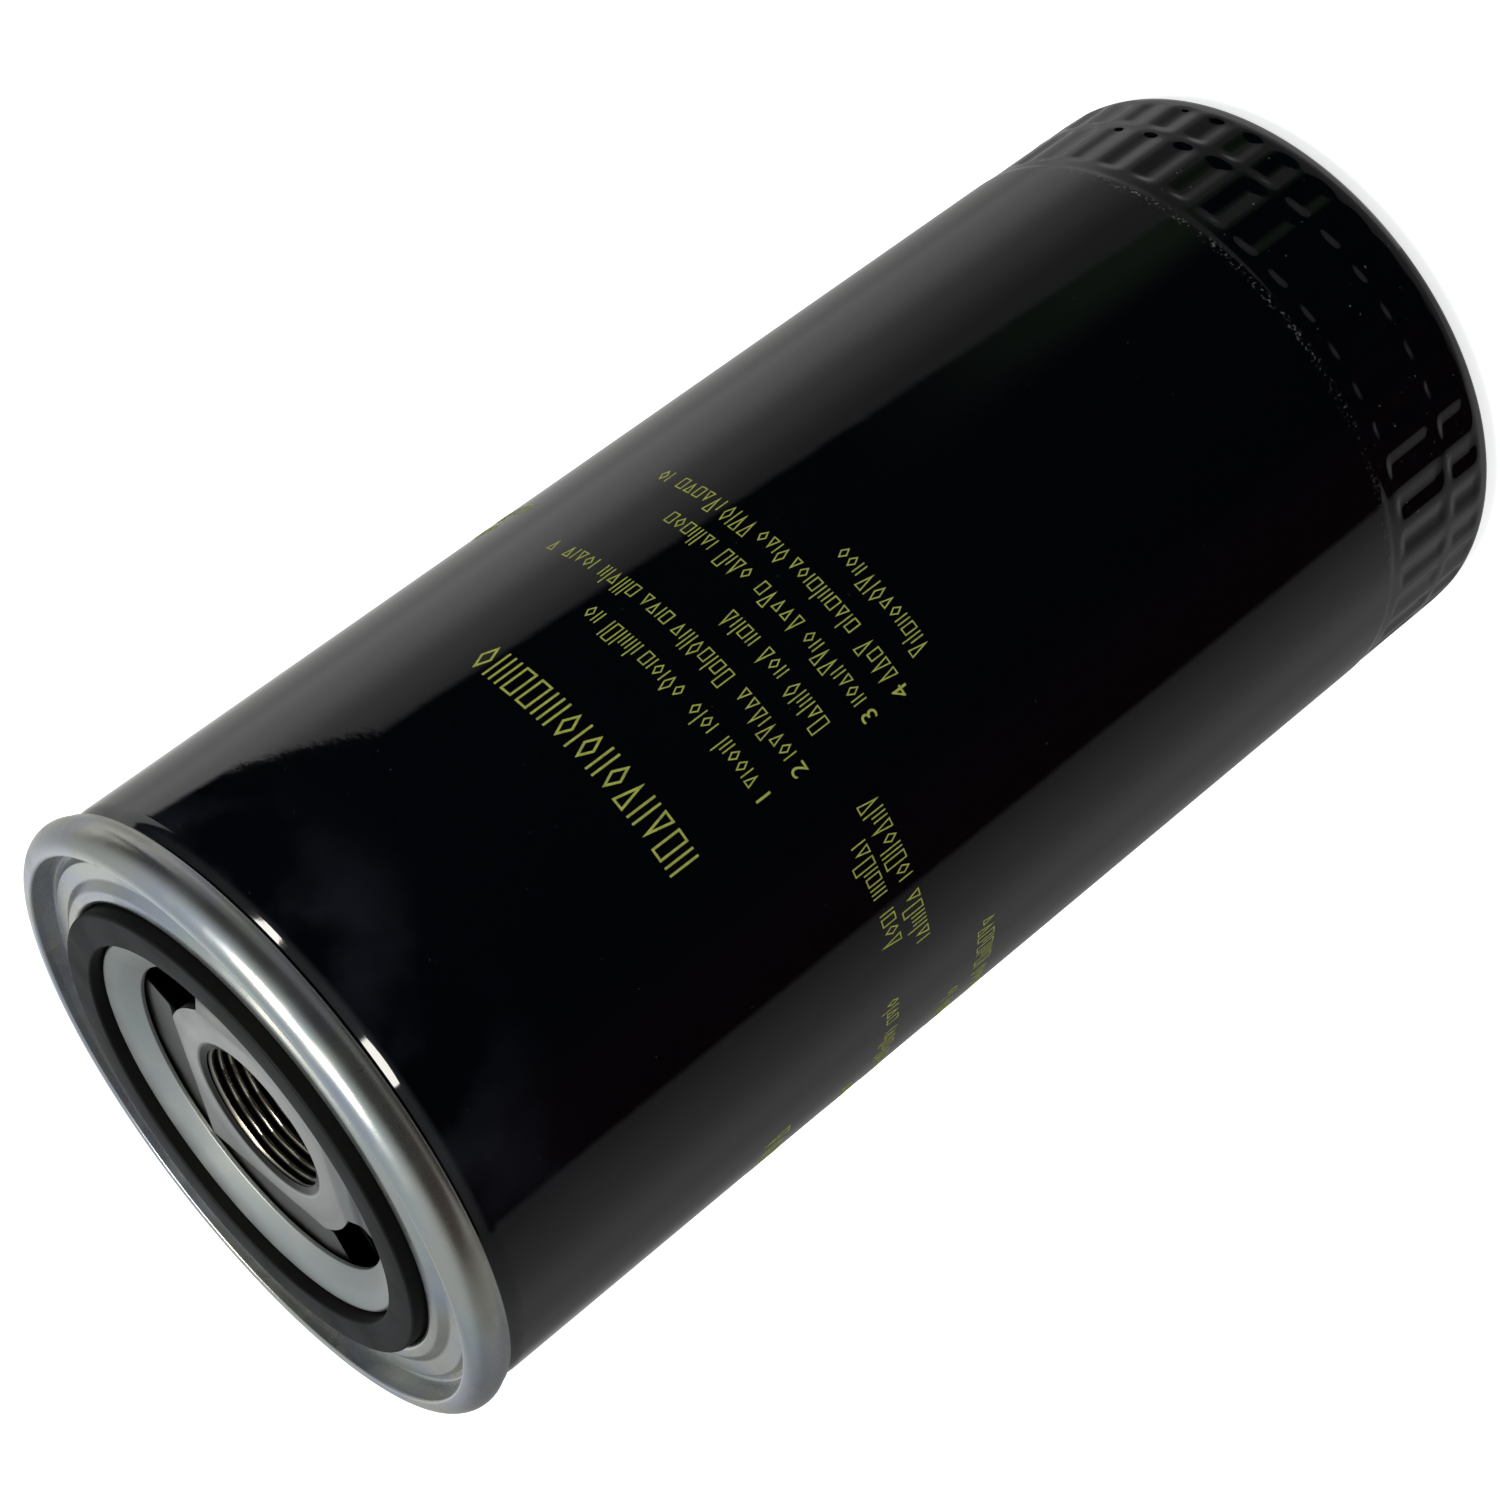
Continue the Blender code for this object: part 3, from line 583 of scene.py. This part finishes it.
def plate_shape(theta, r, z):
    """Raises the plateau on the plate's top, and cuts the helix into the bore."""
    top = (r > 12.9) & (r < 27.6) & (z > PLATE_RIM - 0.4)
    rise = plateau_height(theta, r) - PLATEAU_TOP
    blend = smoothstep((r - 14.0) / 2.0)
    z = np.where(top, z + rise * blend, z)
    bore = r < THREAD_CREST + 0.01
    turn = (z / THREAD_PITCH - theta / TAU) % 1.0
    tooth = np.clip(np.abs(turn - 0.5) * TOOTH_STEEPNESS - TOOTH_CREST, 0, 1)
    mouth = np.clip((z - (PLATEAU_TOP - 1.0)) / 0.8, 0, 1)
    deep = (THREAD_ROOT - THREAD_CREST) * np.maximum(tooth, mouth)
    return np.where(bore, r + deep, r), z


def inlet_slot(direction):
    """A curved slot with round corners, as a closed cutter."""
    low, high, half = INLET
    work = bmesh.new()
    ring = []
    for i in range(INLET_STEPS + 1):
        ring.append((high, direction + half * (2 * i / INLET_STEPS - 1)))
    for i in range(INLET_STEPS + 1):
        ring.append((low, direction + half * (1 - 2 * i / INLET_STEPS)))
    corners = []
    for z in (PLATE_BOTTOM - 3, PLATEAU_TOP + 3):
        points = [(r * math.cos(a) * MM, r * math.sin(a) * MM, z * MM) for r, a in ring]
        corners.append([work.verts.new(point) for point in points])
    work.faces.new(corners[0][::-1])
    work.faces.new(corners[1])
    count = len(ring)
    for i in range(count):
        j = (i + 1) % count
        work.faces.new((corners[0][i], corners[0][j], corners[1][j], corners[1][i]))
    upright = [
        e for e in work.edges
        if abs(e.verts[0].co.z - e.verts[1].co.z) > 0.001 and e.calc_face_angle(0) > math.radians(40)
    ]
    bmesh.ops.bevel(work, geom=upright, offset=1.6 * MM, segments=5, affect="EDGES", profile=0.5)
    bmesh.ops.recalc_face_normals(work, faces=work.faces)
    mesh = bpy.data.meshes.new("slot")
    work.to_mesh(mesh)
    work.free()
    return mesh


def plate_spacing(point):
    """The longest step along the plate's path: fine in the thread and on the plateau."""
    r, z = point
    if r < THREAD_CREST + 0.3:
        return 0.125
    return 0.4 if z > PLATE_RIM - 0.2 and r < 28 else 4.0


def make_plate(material):
    """The threaded plate: a turned piece with a raised square, a helix and two inlets."""
    corners = [
        (THREAD_ROOT + 0.9, PLATEAU_TOP + 0.15, 0.3),
        (14.6, PLATEAU_TOP + 0.12, 1.0),
        (17.0, PLATEAU_TOP, 0),
        (27.4, PLATEAU_TOP, 0),
        (28.6, PLATE_RIM, 0.8),
        (29.9, PLATE_SEAT, 0.8),
        (PLATE_R, PLATE_SEAT, 0.5),
        (PLATE_R, PLATE_BOTTOM, 0.5),
        (HUB_R + 1.0, PLATE_BOTTOM, 1.2),
        (HUB_R, HUB_BOTTOM, 0.6),
        (THREAD_ROOT, HUB_BOTTOM, 0.2),
        (THREAD_CREST, HUB_BOTTOM + 0.9, 0),
        (THREAD_CREST, PLATEAU_TOP - 0.5, 0),
    ]
    path = resampled(filleted(corners, 10.0), plate_spacing, closed=True)
    mesh = lathe("plate_skin", path, 288, plate_shape)
    obj = new_object("plate_skin", mesh, material)
    for direction in (0.0, math.pi):
        tool = bpy.data.objects.new("slot_tool", inlet_slot(direction))
        bpy.context.scene.collection.objects.link(tool)
        cut = obj.modifiers.new("Inlet", "BOOLEAN")
        cut.object = tool
        cut.operation = "DIFFERENCE"
        graph = bpy.context.evaluated_depsgraph_get()
        graph.update()
        finished = bpy.data.meshes.new_from_object(obj.evaluated_get(graph))
        obj.modifiers.clear()
        obj.data = finished
        bpy.data.objects.remove(tool)
    obj.data.materials.clear()
    obj.data.materials.append(material)
    obj.data.shade_smooth()
    obj.data.set_sharp_from_angle(angle=math.radians(32))
    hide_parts("base_plate")


# --- Print ----------------------------------------------------------------------------------

PRINT_START = math.radians(-93)  # where the first block's lines begin
BLOCKS = 3
LINES = (  # baseline height, letter height, indent, length in mm, number
    (151.5, 5.0, 0.0, 41.4, None),
    (138.0, 3.4, 0.0, 38.0, 1),
    (131.5, 3.4, 0.0, 53.0, 2),
    (125.0, 3.4, 3.4, 20.6, None),
    (118.5, 3.4, 0.0, 43.0, 3),
    (112.5, 3.4, 0.0, 50.5, 4),
    (106.0, 3.4, 3.4, 18.2, None),
)
SIDE_START = math.radians(-132)
SIDE_LINES = ((129.5, 3.8, 18.2, 2.9), (124.7, 3.8, 24.0, 0.0))  # baseline, height, length, indent
HEADING = 4.0  # marks taller than this belong to a heading
HEADING_STROKE = 0.34
LINE_STROKE = 0.19
SIDE_STROKE = 0.2
WORD_GAP = 0.8
NUMERAL_ROOM = 3.0
NUMERAL_THICKNESS = 0.07
INK_LIFTS = (-0.05, 0.03)  # the ink's underside and top against the paint

# Outlines in a unit square; a bar is an upright stroke. None of them is a letter.
SIGNS = {
    "bar": ((0.0, 0.0), (1.0, 0.0), (1.0, 1.0), (0.0, 1.0)),
    "box": ((0.0, 0.0), (1.0, 0.0), (1.0, 1.0), (0.0, 1.0)),
    "diamond": ((0.5, 0.0), (1.0, 0.5), (0.5, 1.0), (0.0, 0.5)),
    "peak": ((0.0, 0.0), (1.0, 0.0), (0.5, 1.0)),
    "valley": ((0.5, 0.0), (1.0, 1.0), (0.0, 1.0)),
}
SIGN_KINDS = ("bar", "bar", "bar", "box", "diamond", "peak", "valley")


def on_can(u, z, lift):
    """The point at a distance round the can and a height, lifted off the paint; all in mm."""
    a = u / CAN_R
    return ((CAN_R + lift) * math.cos(a) * MM, (CAN_R + lift) * math.sin(a) * MM, z * MM)


def printed_ring(work, outer, inner):
    """A thin raised slab between two loops of (distance round the can, height) points."""
    loops = []
    for points in (outer, inner):
        loops.append([[work.verts.new(on_can(u, z, lift)) for u, z in points] for lift in INK_LIFTS])
    (outer_low, outer_high), (inner_low, inner_high) = loops
    count = len(outer)
    for i in range(count):
        j = (i + 1) % count
        work.faces.new((outer_high[i], outer_high[j], inner_high[j], inner_high[i]))
        work.faces.new((outer_low[j], outer_low[i], inner_low[i], inner_low[j]))
        work.faces.new((outer_low[i], outer_low[j], outer_high[j], outer_high[i]))
        work.faces.new((inner_low[j], inner_low[i], inner_high[i], inner_high[j]))


def printed_patch(work, points):
    """A thin raised slab inside one loop of (distance round the can, height) points."""
    low, high = [[work.verts.new(on_can(u, z, lift)) for u, z in points] for lift in INK_LIFTS]
    work.faces.new(high)
    work.faces.new(low[::-1])
    for i in range(len(points)):
        j = (i + 1) % len(points)
        work.faces.new((low[i], low[j], high[j], high[i]))


def inset(points, weight):
    """A closed outline, moved inwards by the weight of a stroke."""
    result = []
    count = len(points)
    for i in range(count):
        before, here, after = (Vector(points[(i + k) % count]) for k in (-1, 0, 1))
        a, b = (here - before).normalized(), (after - here).normalized()
        turn = math.asin(max(-1.0, min(1.0, a.cross(b))))
        if a.dot(b) < 0:
            turn = math.pi - turn
        result.append(tuple(here + (b - a).normalized() * weight / math.cos(turn / 2)))
    return result


def sign(work, kind, u, z, width, height, weight):
    if kind == "bar":
        printed_patch(work, [(u + x * weight, z + y * height) for x, y in SIGNS[kind]])
        return
    outer = [(u + x * width, z + y * height) for x, y in SIGNS[kind]]
    printed_ring(work, outer, inset(outer, weight))


def word_marks(work, u, z, length, height, weight, rng):
    """A word's stand-in: a row of bars and plain outlines of two heights."""
    end = u + length
    heading = height > HEADING
    wide = height * (0.42 if heading else 0.36)
    gap = height * (0.17 if heading else 0.13)
    while u < end - wide * 0.8:
        kind = rng.choice(SIGN_KINDS)
        tall = height if heading or rng.random() < 0.3 else height * 0.68
        sign(work, kind, u, z, wide, tall, weight)
        u += (weight if kind == "bar" else wide) + gap


def digit_mesh(work, number, u, z, height):
    """A plain numeral, wrapped onto the can."""
    curve = bpy.data.curves.new("numeral", "FONT")
    curve.body = str(number)
    curve.size = height * 1.35
    flat = bpy.data.objects.new("numeral", curve)
    bpy.context.scene.collection.objects.link(flat)
    graph = bpy.context.evaluated_depsgraph_get()
    graph.update()
    mesh = bpy.data.meshes.new_from_object(flat.evaluated_get(graph))
    outline = bmesh.new()
    outline.from_mesh(mesh)
    bmesh.ops.remove_doubles(outline, verts=outline.verts, dist=1e-5)
    solid = bmesh.ops.extrude_face_region(outline, geom=outline.faces[:])
    for v in [g for g in solid["geom"] if isinstance(g, bmesh.types.BMVert)]:
        v.co.z = NUMERAL_THICKNESS
    for v in outline.verts:
        a = (u + v.co.x) / CAN_R
        radius = CAN_R + INK_LIFTS[0] + v.co.z
        v.co = Vector((radius * math.cos(a), radius * math.sin(a), z + v.co.y)) * MM
    bmesh.ops.recalc_face_normals(outline, faces=outline.faces)
    outline.to_mesh(mesh)
    outline.free()
    work.from_mesh(mesh)
    bpy.data.objects.remove(flat)


def make_print(material):
    """Three blocks of numbered marks and a short block beside each, in place of printed text."""
    rng = random.Random(7)
    work = bmesh.new()
    for block in range(BLOCKS):
        turn = block * TAU / BLOCKS
        for z, height, indent, length, number in LINES:
            stretch = 1.0 if block == 0 else rng.uniform(1.1, 1.3)
            u = (PRINT_START + turn) * CAN_R + indent
            end = u + length * stretch
            weight = HEADING_STROKE if height > HEADING else LINE_STROKE
            if number:
                digit_mesh(work, number, u, z, height * 0.8)
                u += NUMERAL_ROOM
            while u < end - 1.5:
                word = min(rng.uniform(4.0, 14.0) if height < HEADING else 60.0, end - u)
                word_marks(work, u, z, word, height, weight, rng)
                u += word + WORD_GAP
        for z, height, length, indent in SIDE_LINES:
            u = (SIDE_START + turn) * CAN_R + indent
            word_marks(work, u, z, length * 0.4, height, SIDE_STROKE, rng)
            word_marks(work, u + length * 0.47, z, length * 0.53, height, SIDE_STROKE, rng)
    bmesh.ops.recalc_face_normals(work, faces=work.faces)
    mesh = bpy.data.meshes.new("print_marks")
    work.to_mesh(mesh)
    work.free()
    return new_object("print_marks", mesh, material)


# --- Inner pieces: CAD nodes with their own materials ---------------------------------------


def dress_inner_pieces():
    """Gives every CAD node a procedural material of its own slot."""
    tin = sheet_metal("tinplate", (0.62, 0.6, 0.54), 0.34)
    wire = sheet_metal("spring_steel", (0.3, 0.3, 0.31), 0.3, 200.0)
    valve = sheet_metal("valve_steel", (0.5, 0.5, 0.48), 0.38)
    glue = adhesive("plastisol", (0.7, 0.27, 0.1))
    looks = {
        "seam_compound": adhesive("seam_compound", (0.2, 0.19, 0.16)),
        "anti_drain_valve": rubber("valve_rubber", 0.004, 0.05),
        "element_seal": rubber("seal_rubber", 0.01),
        "bypass_seal": rubber("washer_rubber", 0.01),
        "pleated_media": filter_paper(),
        "top_potting": glue,
        "bottom_potting": glue,
        "bypass_spring": wire,
        "support_spring": wire,
        "bypass_body": valve,
        "bypass_disc": valve,
        "bypass_retainer": valve,
    }
    for name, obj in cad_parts.items():
        obj.data.materials.clear()
        obj.data.materials.append(looks.get(name, tin))


def fit_springs():
    """Copies each spring's CAD mesh into an object of its own on the body that holds it, and hides the CAD
    node.
    """
    springs = (
        ("support_spring", "can", "element_float", bottom_of("support_spring")),
        ("bypass_spring", "element", "bypass_lift", top_of("bypass_spring")),
    )
    for node, body, joint, fixed_end in springs:
        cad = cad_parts[node]
        mesh = cad.data.copy()
        mesh.transform(cad.matrix_world)
        coil = new_object(node + "_coil", mesh, cad.data.materials[0], body)
        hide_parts(node)
        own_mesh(coil)


# --- Stage, light and camera ----------------------------------------------------------------

CAMERA_PLACE = (0.0487, -0.4634, 0.3321)
CAMERA_AIM = (-0.0006, 0.0, 0.1147)
CAMERA_ROLL = math.radians(-127.4)
CAMERA_LENS = 84.85


def make_camera():
    data = bpy.data.cameras.new("camera")
    data.lens = CAMERA_LENS
    data.sensor_width = 36.0
    data.clip_start = 0.01
    data.clip_end = 20.0
    data.dof.use_dof = False
    camera = bpy.data.objects.new("camera", data)
    bpy.context.scene.collection.objects.link(camera)
    camera.location = CAMERA_PLACE
    look = (Vector(CAMERA_AIM) - Vector(CAMERA_PLACE)).to_track_quat("-Z", "Y")
    camera.rotation_mode = "QUATERNION"
    camera.rotation_quaternion = look @ Matrix.Rotation(CAMERA_ROLL, 4, "Z").to_quaternion()
    bpy.context.scene.camera = camera


def make_floor():
    """A pale floor. Its own faint glow keeps it white where the soft light falls off."""
    mesh = bpy.data.meshes.new("floor")
    work = bmesh.new()
    bmesh.ops.create_grid(work, x_segments=1, y_segments=1, size=6.0)
    work.to_mesh(mesh)
    work.free()
    floor = bpy.data.objects.new("floor", mesh)
    bpy.context.scene.collection.objects.link(floor)
    floor.location.z = -0.0002
    m = Nodes("floor")
    m.set(Base_Color=(0.85, 0.85, 0.85, 1), Roughness=0.9, Specular_IOR_Level=0.0)
    m.set(Emission_Color=(1, 1, 1, 1), Emission_Strength=0.75)
    mesh.materials.append(m.material)
    floor.visible_glossy = False


def world_value(tree, operation, a, b=0.0, c=0.0):
    node = tree.nodes.new("ShaderNodeMath")
    node.operation = operation
    for socket, value in zip(node.inputs, (a, b, c)):
        if isinstance(value, bpy.types.NodeSocket):
            tree.links.new(value, socket)
        else:
            socket.default_value = value
    return node.outputs[0]


def soft_edge(tree, value, low, high):
    node = tree.nodes.new("ShaderNodeMapRange")
    node.interpolation_type = "SMOOTHSTEP"
    tree.links.new(value, node.inputs["Value"])
    node.inputs["From Min"].default_value = low
    node.inputs["From Max"].default_value = high
    return node.outputs["Result"]


# Brightness of the room to the left and right of the dark opening, against azimuth / 180 degrees
LEFT_ROOM = ((0.42, 0.24), (0.53, 0.46), (0.63, 0.78), (0.70, 0.74), (0.77, 0.5), (0.85, 0.5), (0.97, 0.6))
LEFT_EDGE = 79.0
RIGHT_EDGE = (75.5, 79.0)
RIGHT_ROOM = ((0.42, 0.19), (0.53, 0.29), (0.64, 0.35), (0.75, 0.24), (0.82, 0.2), (0.95, 0.22))


def profile(tree, value, stops):
    node = tree.nodes.new("ShaderNodeValToRGB")
    tree.links.new(value, node.inputs["Fac"])
    ramp = node.color_ramp
    ramp.interpolation = "EASE"
    while len(ramp.elements) < len(stops):
        ramp.elements.new(1.0)
    for element, (place, level) in zip(ramp.elements, stops):
        element.position = place
        element.color = (level, level, level, 1)
    return node.outputs["Color"]


def make_world():
    """A soft room: pale all round but for a dark opening on the camera's side, which the paint mirrors."""
    world = bpy.data.worlds.new("room")
    bpy.context.scene.world = world
    world.use_nodes = True
    tree = world.node_tree
    tree.nodes.clear()

    def calc(*args):
        return world_value(tree, *args)

    coord = tree.nodes.new("ShaderNodeTexCoord").outputs["Generated"]
    facing = math.atan2(CAMERA_PLACE[1], CAMERA_PLACE[0])
    turn = tree.nodes.new("ShaderNodeVectorRotate")
    turn.rotation_type = "Z_AXIS"
    turn.inputs["Angle"].default_value = -facing
    tree.links.new(coord, turn.inputs["Vector"])
    parts = tree.nodes.new("ShaderNodeSeparateXYZ")
    tree.links.new(turn.outputs[0], parts.inputs[0])
    x, y, z = parts.outputs
    azimuth = calc("MULTIPLY", calc("ARCTAN2", y, x), 180 / math.pi)
    elevation = calc("MULTIPLY", calc("ARCSINE", z), 180 / math.pi)

    # In degrees from the camera's side; seen from the filter, +azimuth is the picture's upper left.
    left_edge = calc("ADD", LEFT_EDGE, calc("MULTIPLY", calc("ADD", elevation, 23.5), 1.3))
    lift = calc("MULTIPLY", calc("MAXIMUM", calc("ADD", elevation, 20.5), 0.0), 11.0)
    lowness = calc("MULTIPLY", elevation, -1.0)
    lift = calc("MULTIPLY", calc("MINIMUM", lift, 27.0), soft_edge(tree, lowness, 8.0, 14.0))
    left_edge = calc("ADD", left_edge, lift)
    drop = calc("MINIMUM", calc("ADD", elevation, 36.0), 0.0)
    left_edge = calc("ADD", left_edge, calc("MULTIPLY", drop, 1.5))
    left = soft_edge(tree, calc("SUBTRACT", azimuth, left_edge), -1.5, 2.5)
    rightness = calc("MULTIPLY", azimuth, -1.0)
    right = soft_edge(tree, rightness, *RIGHT_EDGE)
    low_dim = calc("SUBTRACT", 1.0, calc("MULTIPLY", soft_edge(tree, lowness, 22.0, 36.0), 0.32))
    around = calc("MULTIPLY", azimuth, 1 / 180)
    left_level = calc("MULTIPLY", profile(tree, around, LEFT_ROOM), low_dim)
    right_level = profile(tree, calc("MULTIPLY", around, -1.0), RIGHT_ROOM)
    level = calc("ADD", calc("MULTIPLY", left, left_level), calc("MULTIPLY", right, right_level))
    behind = soft_edge(tree, calc("ABSOLUTE", azimuth), 148.0, 176.0)
    behind = calc("MULTIPLY", behind, soft_edge(tree, elevation, -24.0, -13.0))
    above = soft_edge(tree, elevation, 0.0, 44.0)
    below = soft_edge(tree, lowness, 50.0, 70.0)
    level = calc("ADD", level, calc("MULTIPLY", behind, 0.36))
    level = calc("MAXIMUM", level, calc("MULTIPLY", above, 0.62))
    level = calc("MAXIMUM", level, calc("MULTIPLY", below, 0.14))
    level = calc("ADD", level, 0.002)

    # Faint colours in the dark opening: green low on its left side, dark red on its right.
    green = calc("MULTIPLY", soft_edge(tree, azimuth, 40.0, 58.0), soft_edge(tree, lowness, 29.0, 35.0))
    green = calc("MULTIPLY", green, calc("SUBTRACT", 1.0, left))
    red = calc("MULTIPLY", soft_edge(tree, rightness, 30.0, 60.0), calc("SUBTRACT", 1.0, right))
    colour = tree.nodes.new("ShaderNodeCombineColor")
    cool = calc("MULTIPLY", above, 0.1)
    shares = (
        (calc("SUBTRACT", 1.0, cool), 0.07, 0.02),
        (1.0, 0.11, 0.002),
        (calc("ADD", 0.985, cool), 0.055, 0.002),
    )
    for socket, (share, of_green, of_red) in zip(colour.inputs, shares):
        tint = calc("ADD", calc("MULTIPLY", green, of_green), calc("MULTIPLY", red, of_red))
        tree.links.new(calc("ADD", calc("MULTIPLY", level, share), tint), socket)
    light = tree.nodes.new("ShaderNodeBackground")
    tree.links.new(colour.outputs[0], light.inputs["Color"])
    white = tree.nodes.new("ShaderNodeBackground")
    white.inputs["Color"].default_value = (1, 1, 1, 1)
    path = tree.nodes.new("ShaderNodeLightPath")
    mix = tree.nodes.new("ShaderNodeMixShader")
    tree.links.new(path.outputs["Is Camera Ray"], mix.inputs[0])
    tree.links.new(light.outputs[0], mix.inputs[1])
    tree.links.new(white.outputs[0], mix.inputs[2])
    out = tree.nodes.new("ShaderNodeOutputWorld")
    tree.links.new(mix.outputs[0], out.inputs["Surface"])


def area_light(name, place, aim, size, power, only=None):
    """A soft light; given a collection, it is round and falls on those pieces only."""
    data = bpy.data.lights.new(name, "AREA")
    data.shape = "ELLIPSE" if only else "RECTANGLE"
    data.size, data.size_y = size
    data.energy = power
    data.color = (1.0, 0.97, 0.9)
    light = bpy.data.objects.new(name, data)
    bpy.context.scene.collection.objects.link(light)
    light.location = place
    light.rotation_mode = "QUATERNION"
    light.rotation_quaternion = (Vector(aim) - Vector(place)).to_track_quat("-Z", "Y")
    if only:
        light.light_linking.receiver_collection = only


def make_lights(can):
    """Two lamps high on the camera's side, and two that the paint's neck mirrors under the seam."""
    face = (0.0, 0.0, 0.2)
    area_light("key_left", (0.290, -0.235, 0.964), face, (0.18, 0.26), 4.6)
    area_light("key_right", (-0.020, -0.372, 0.964), face, (0.12, 0.26), 3.1)
    paintwork = bpy.data.collections.new("paintwork")
    paintwork.objects.link(can)
    area_light("neck_left", (0.459, -0.303, 0.518), face, (0.32, 0.2), 4.0, paintwork)
    area_light("neck_right", (-0.030, -0.555, 0.518), face, (0.22, 0.18), 2.2, paintwork)


def main():
    paint = black_paint()
    steel = plate_steel()
    dress_inner_pieces()
    fit_springs()
    can = make_can(paint)
    make_lid(zinc())
    make_gasket(rubber("black_rubber", 0.0035, 0.1))
    make_plate(steel)
    make_print(print_ink())
    make_floor()
    make_world()
    make_lights(can)
    make_camera()
    bpy.context.scene.view_settings.view_transform = "Standard"


main()
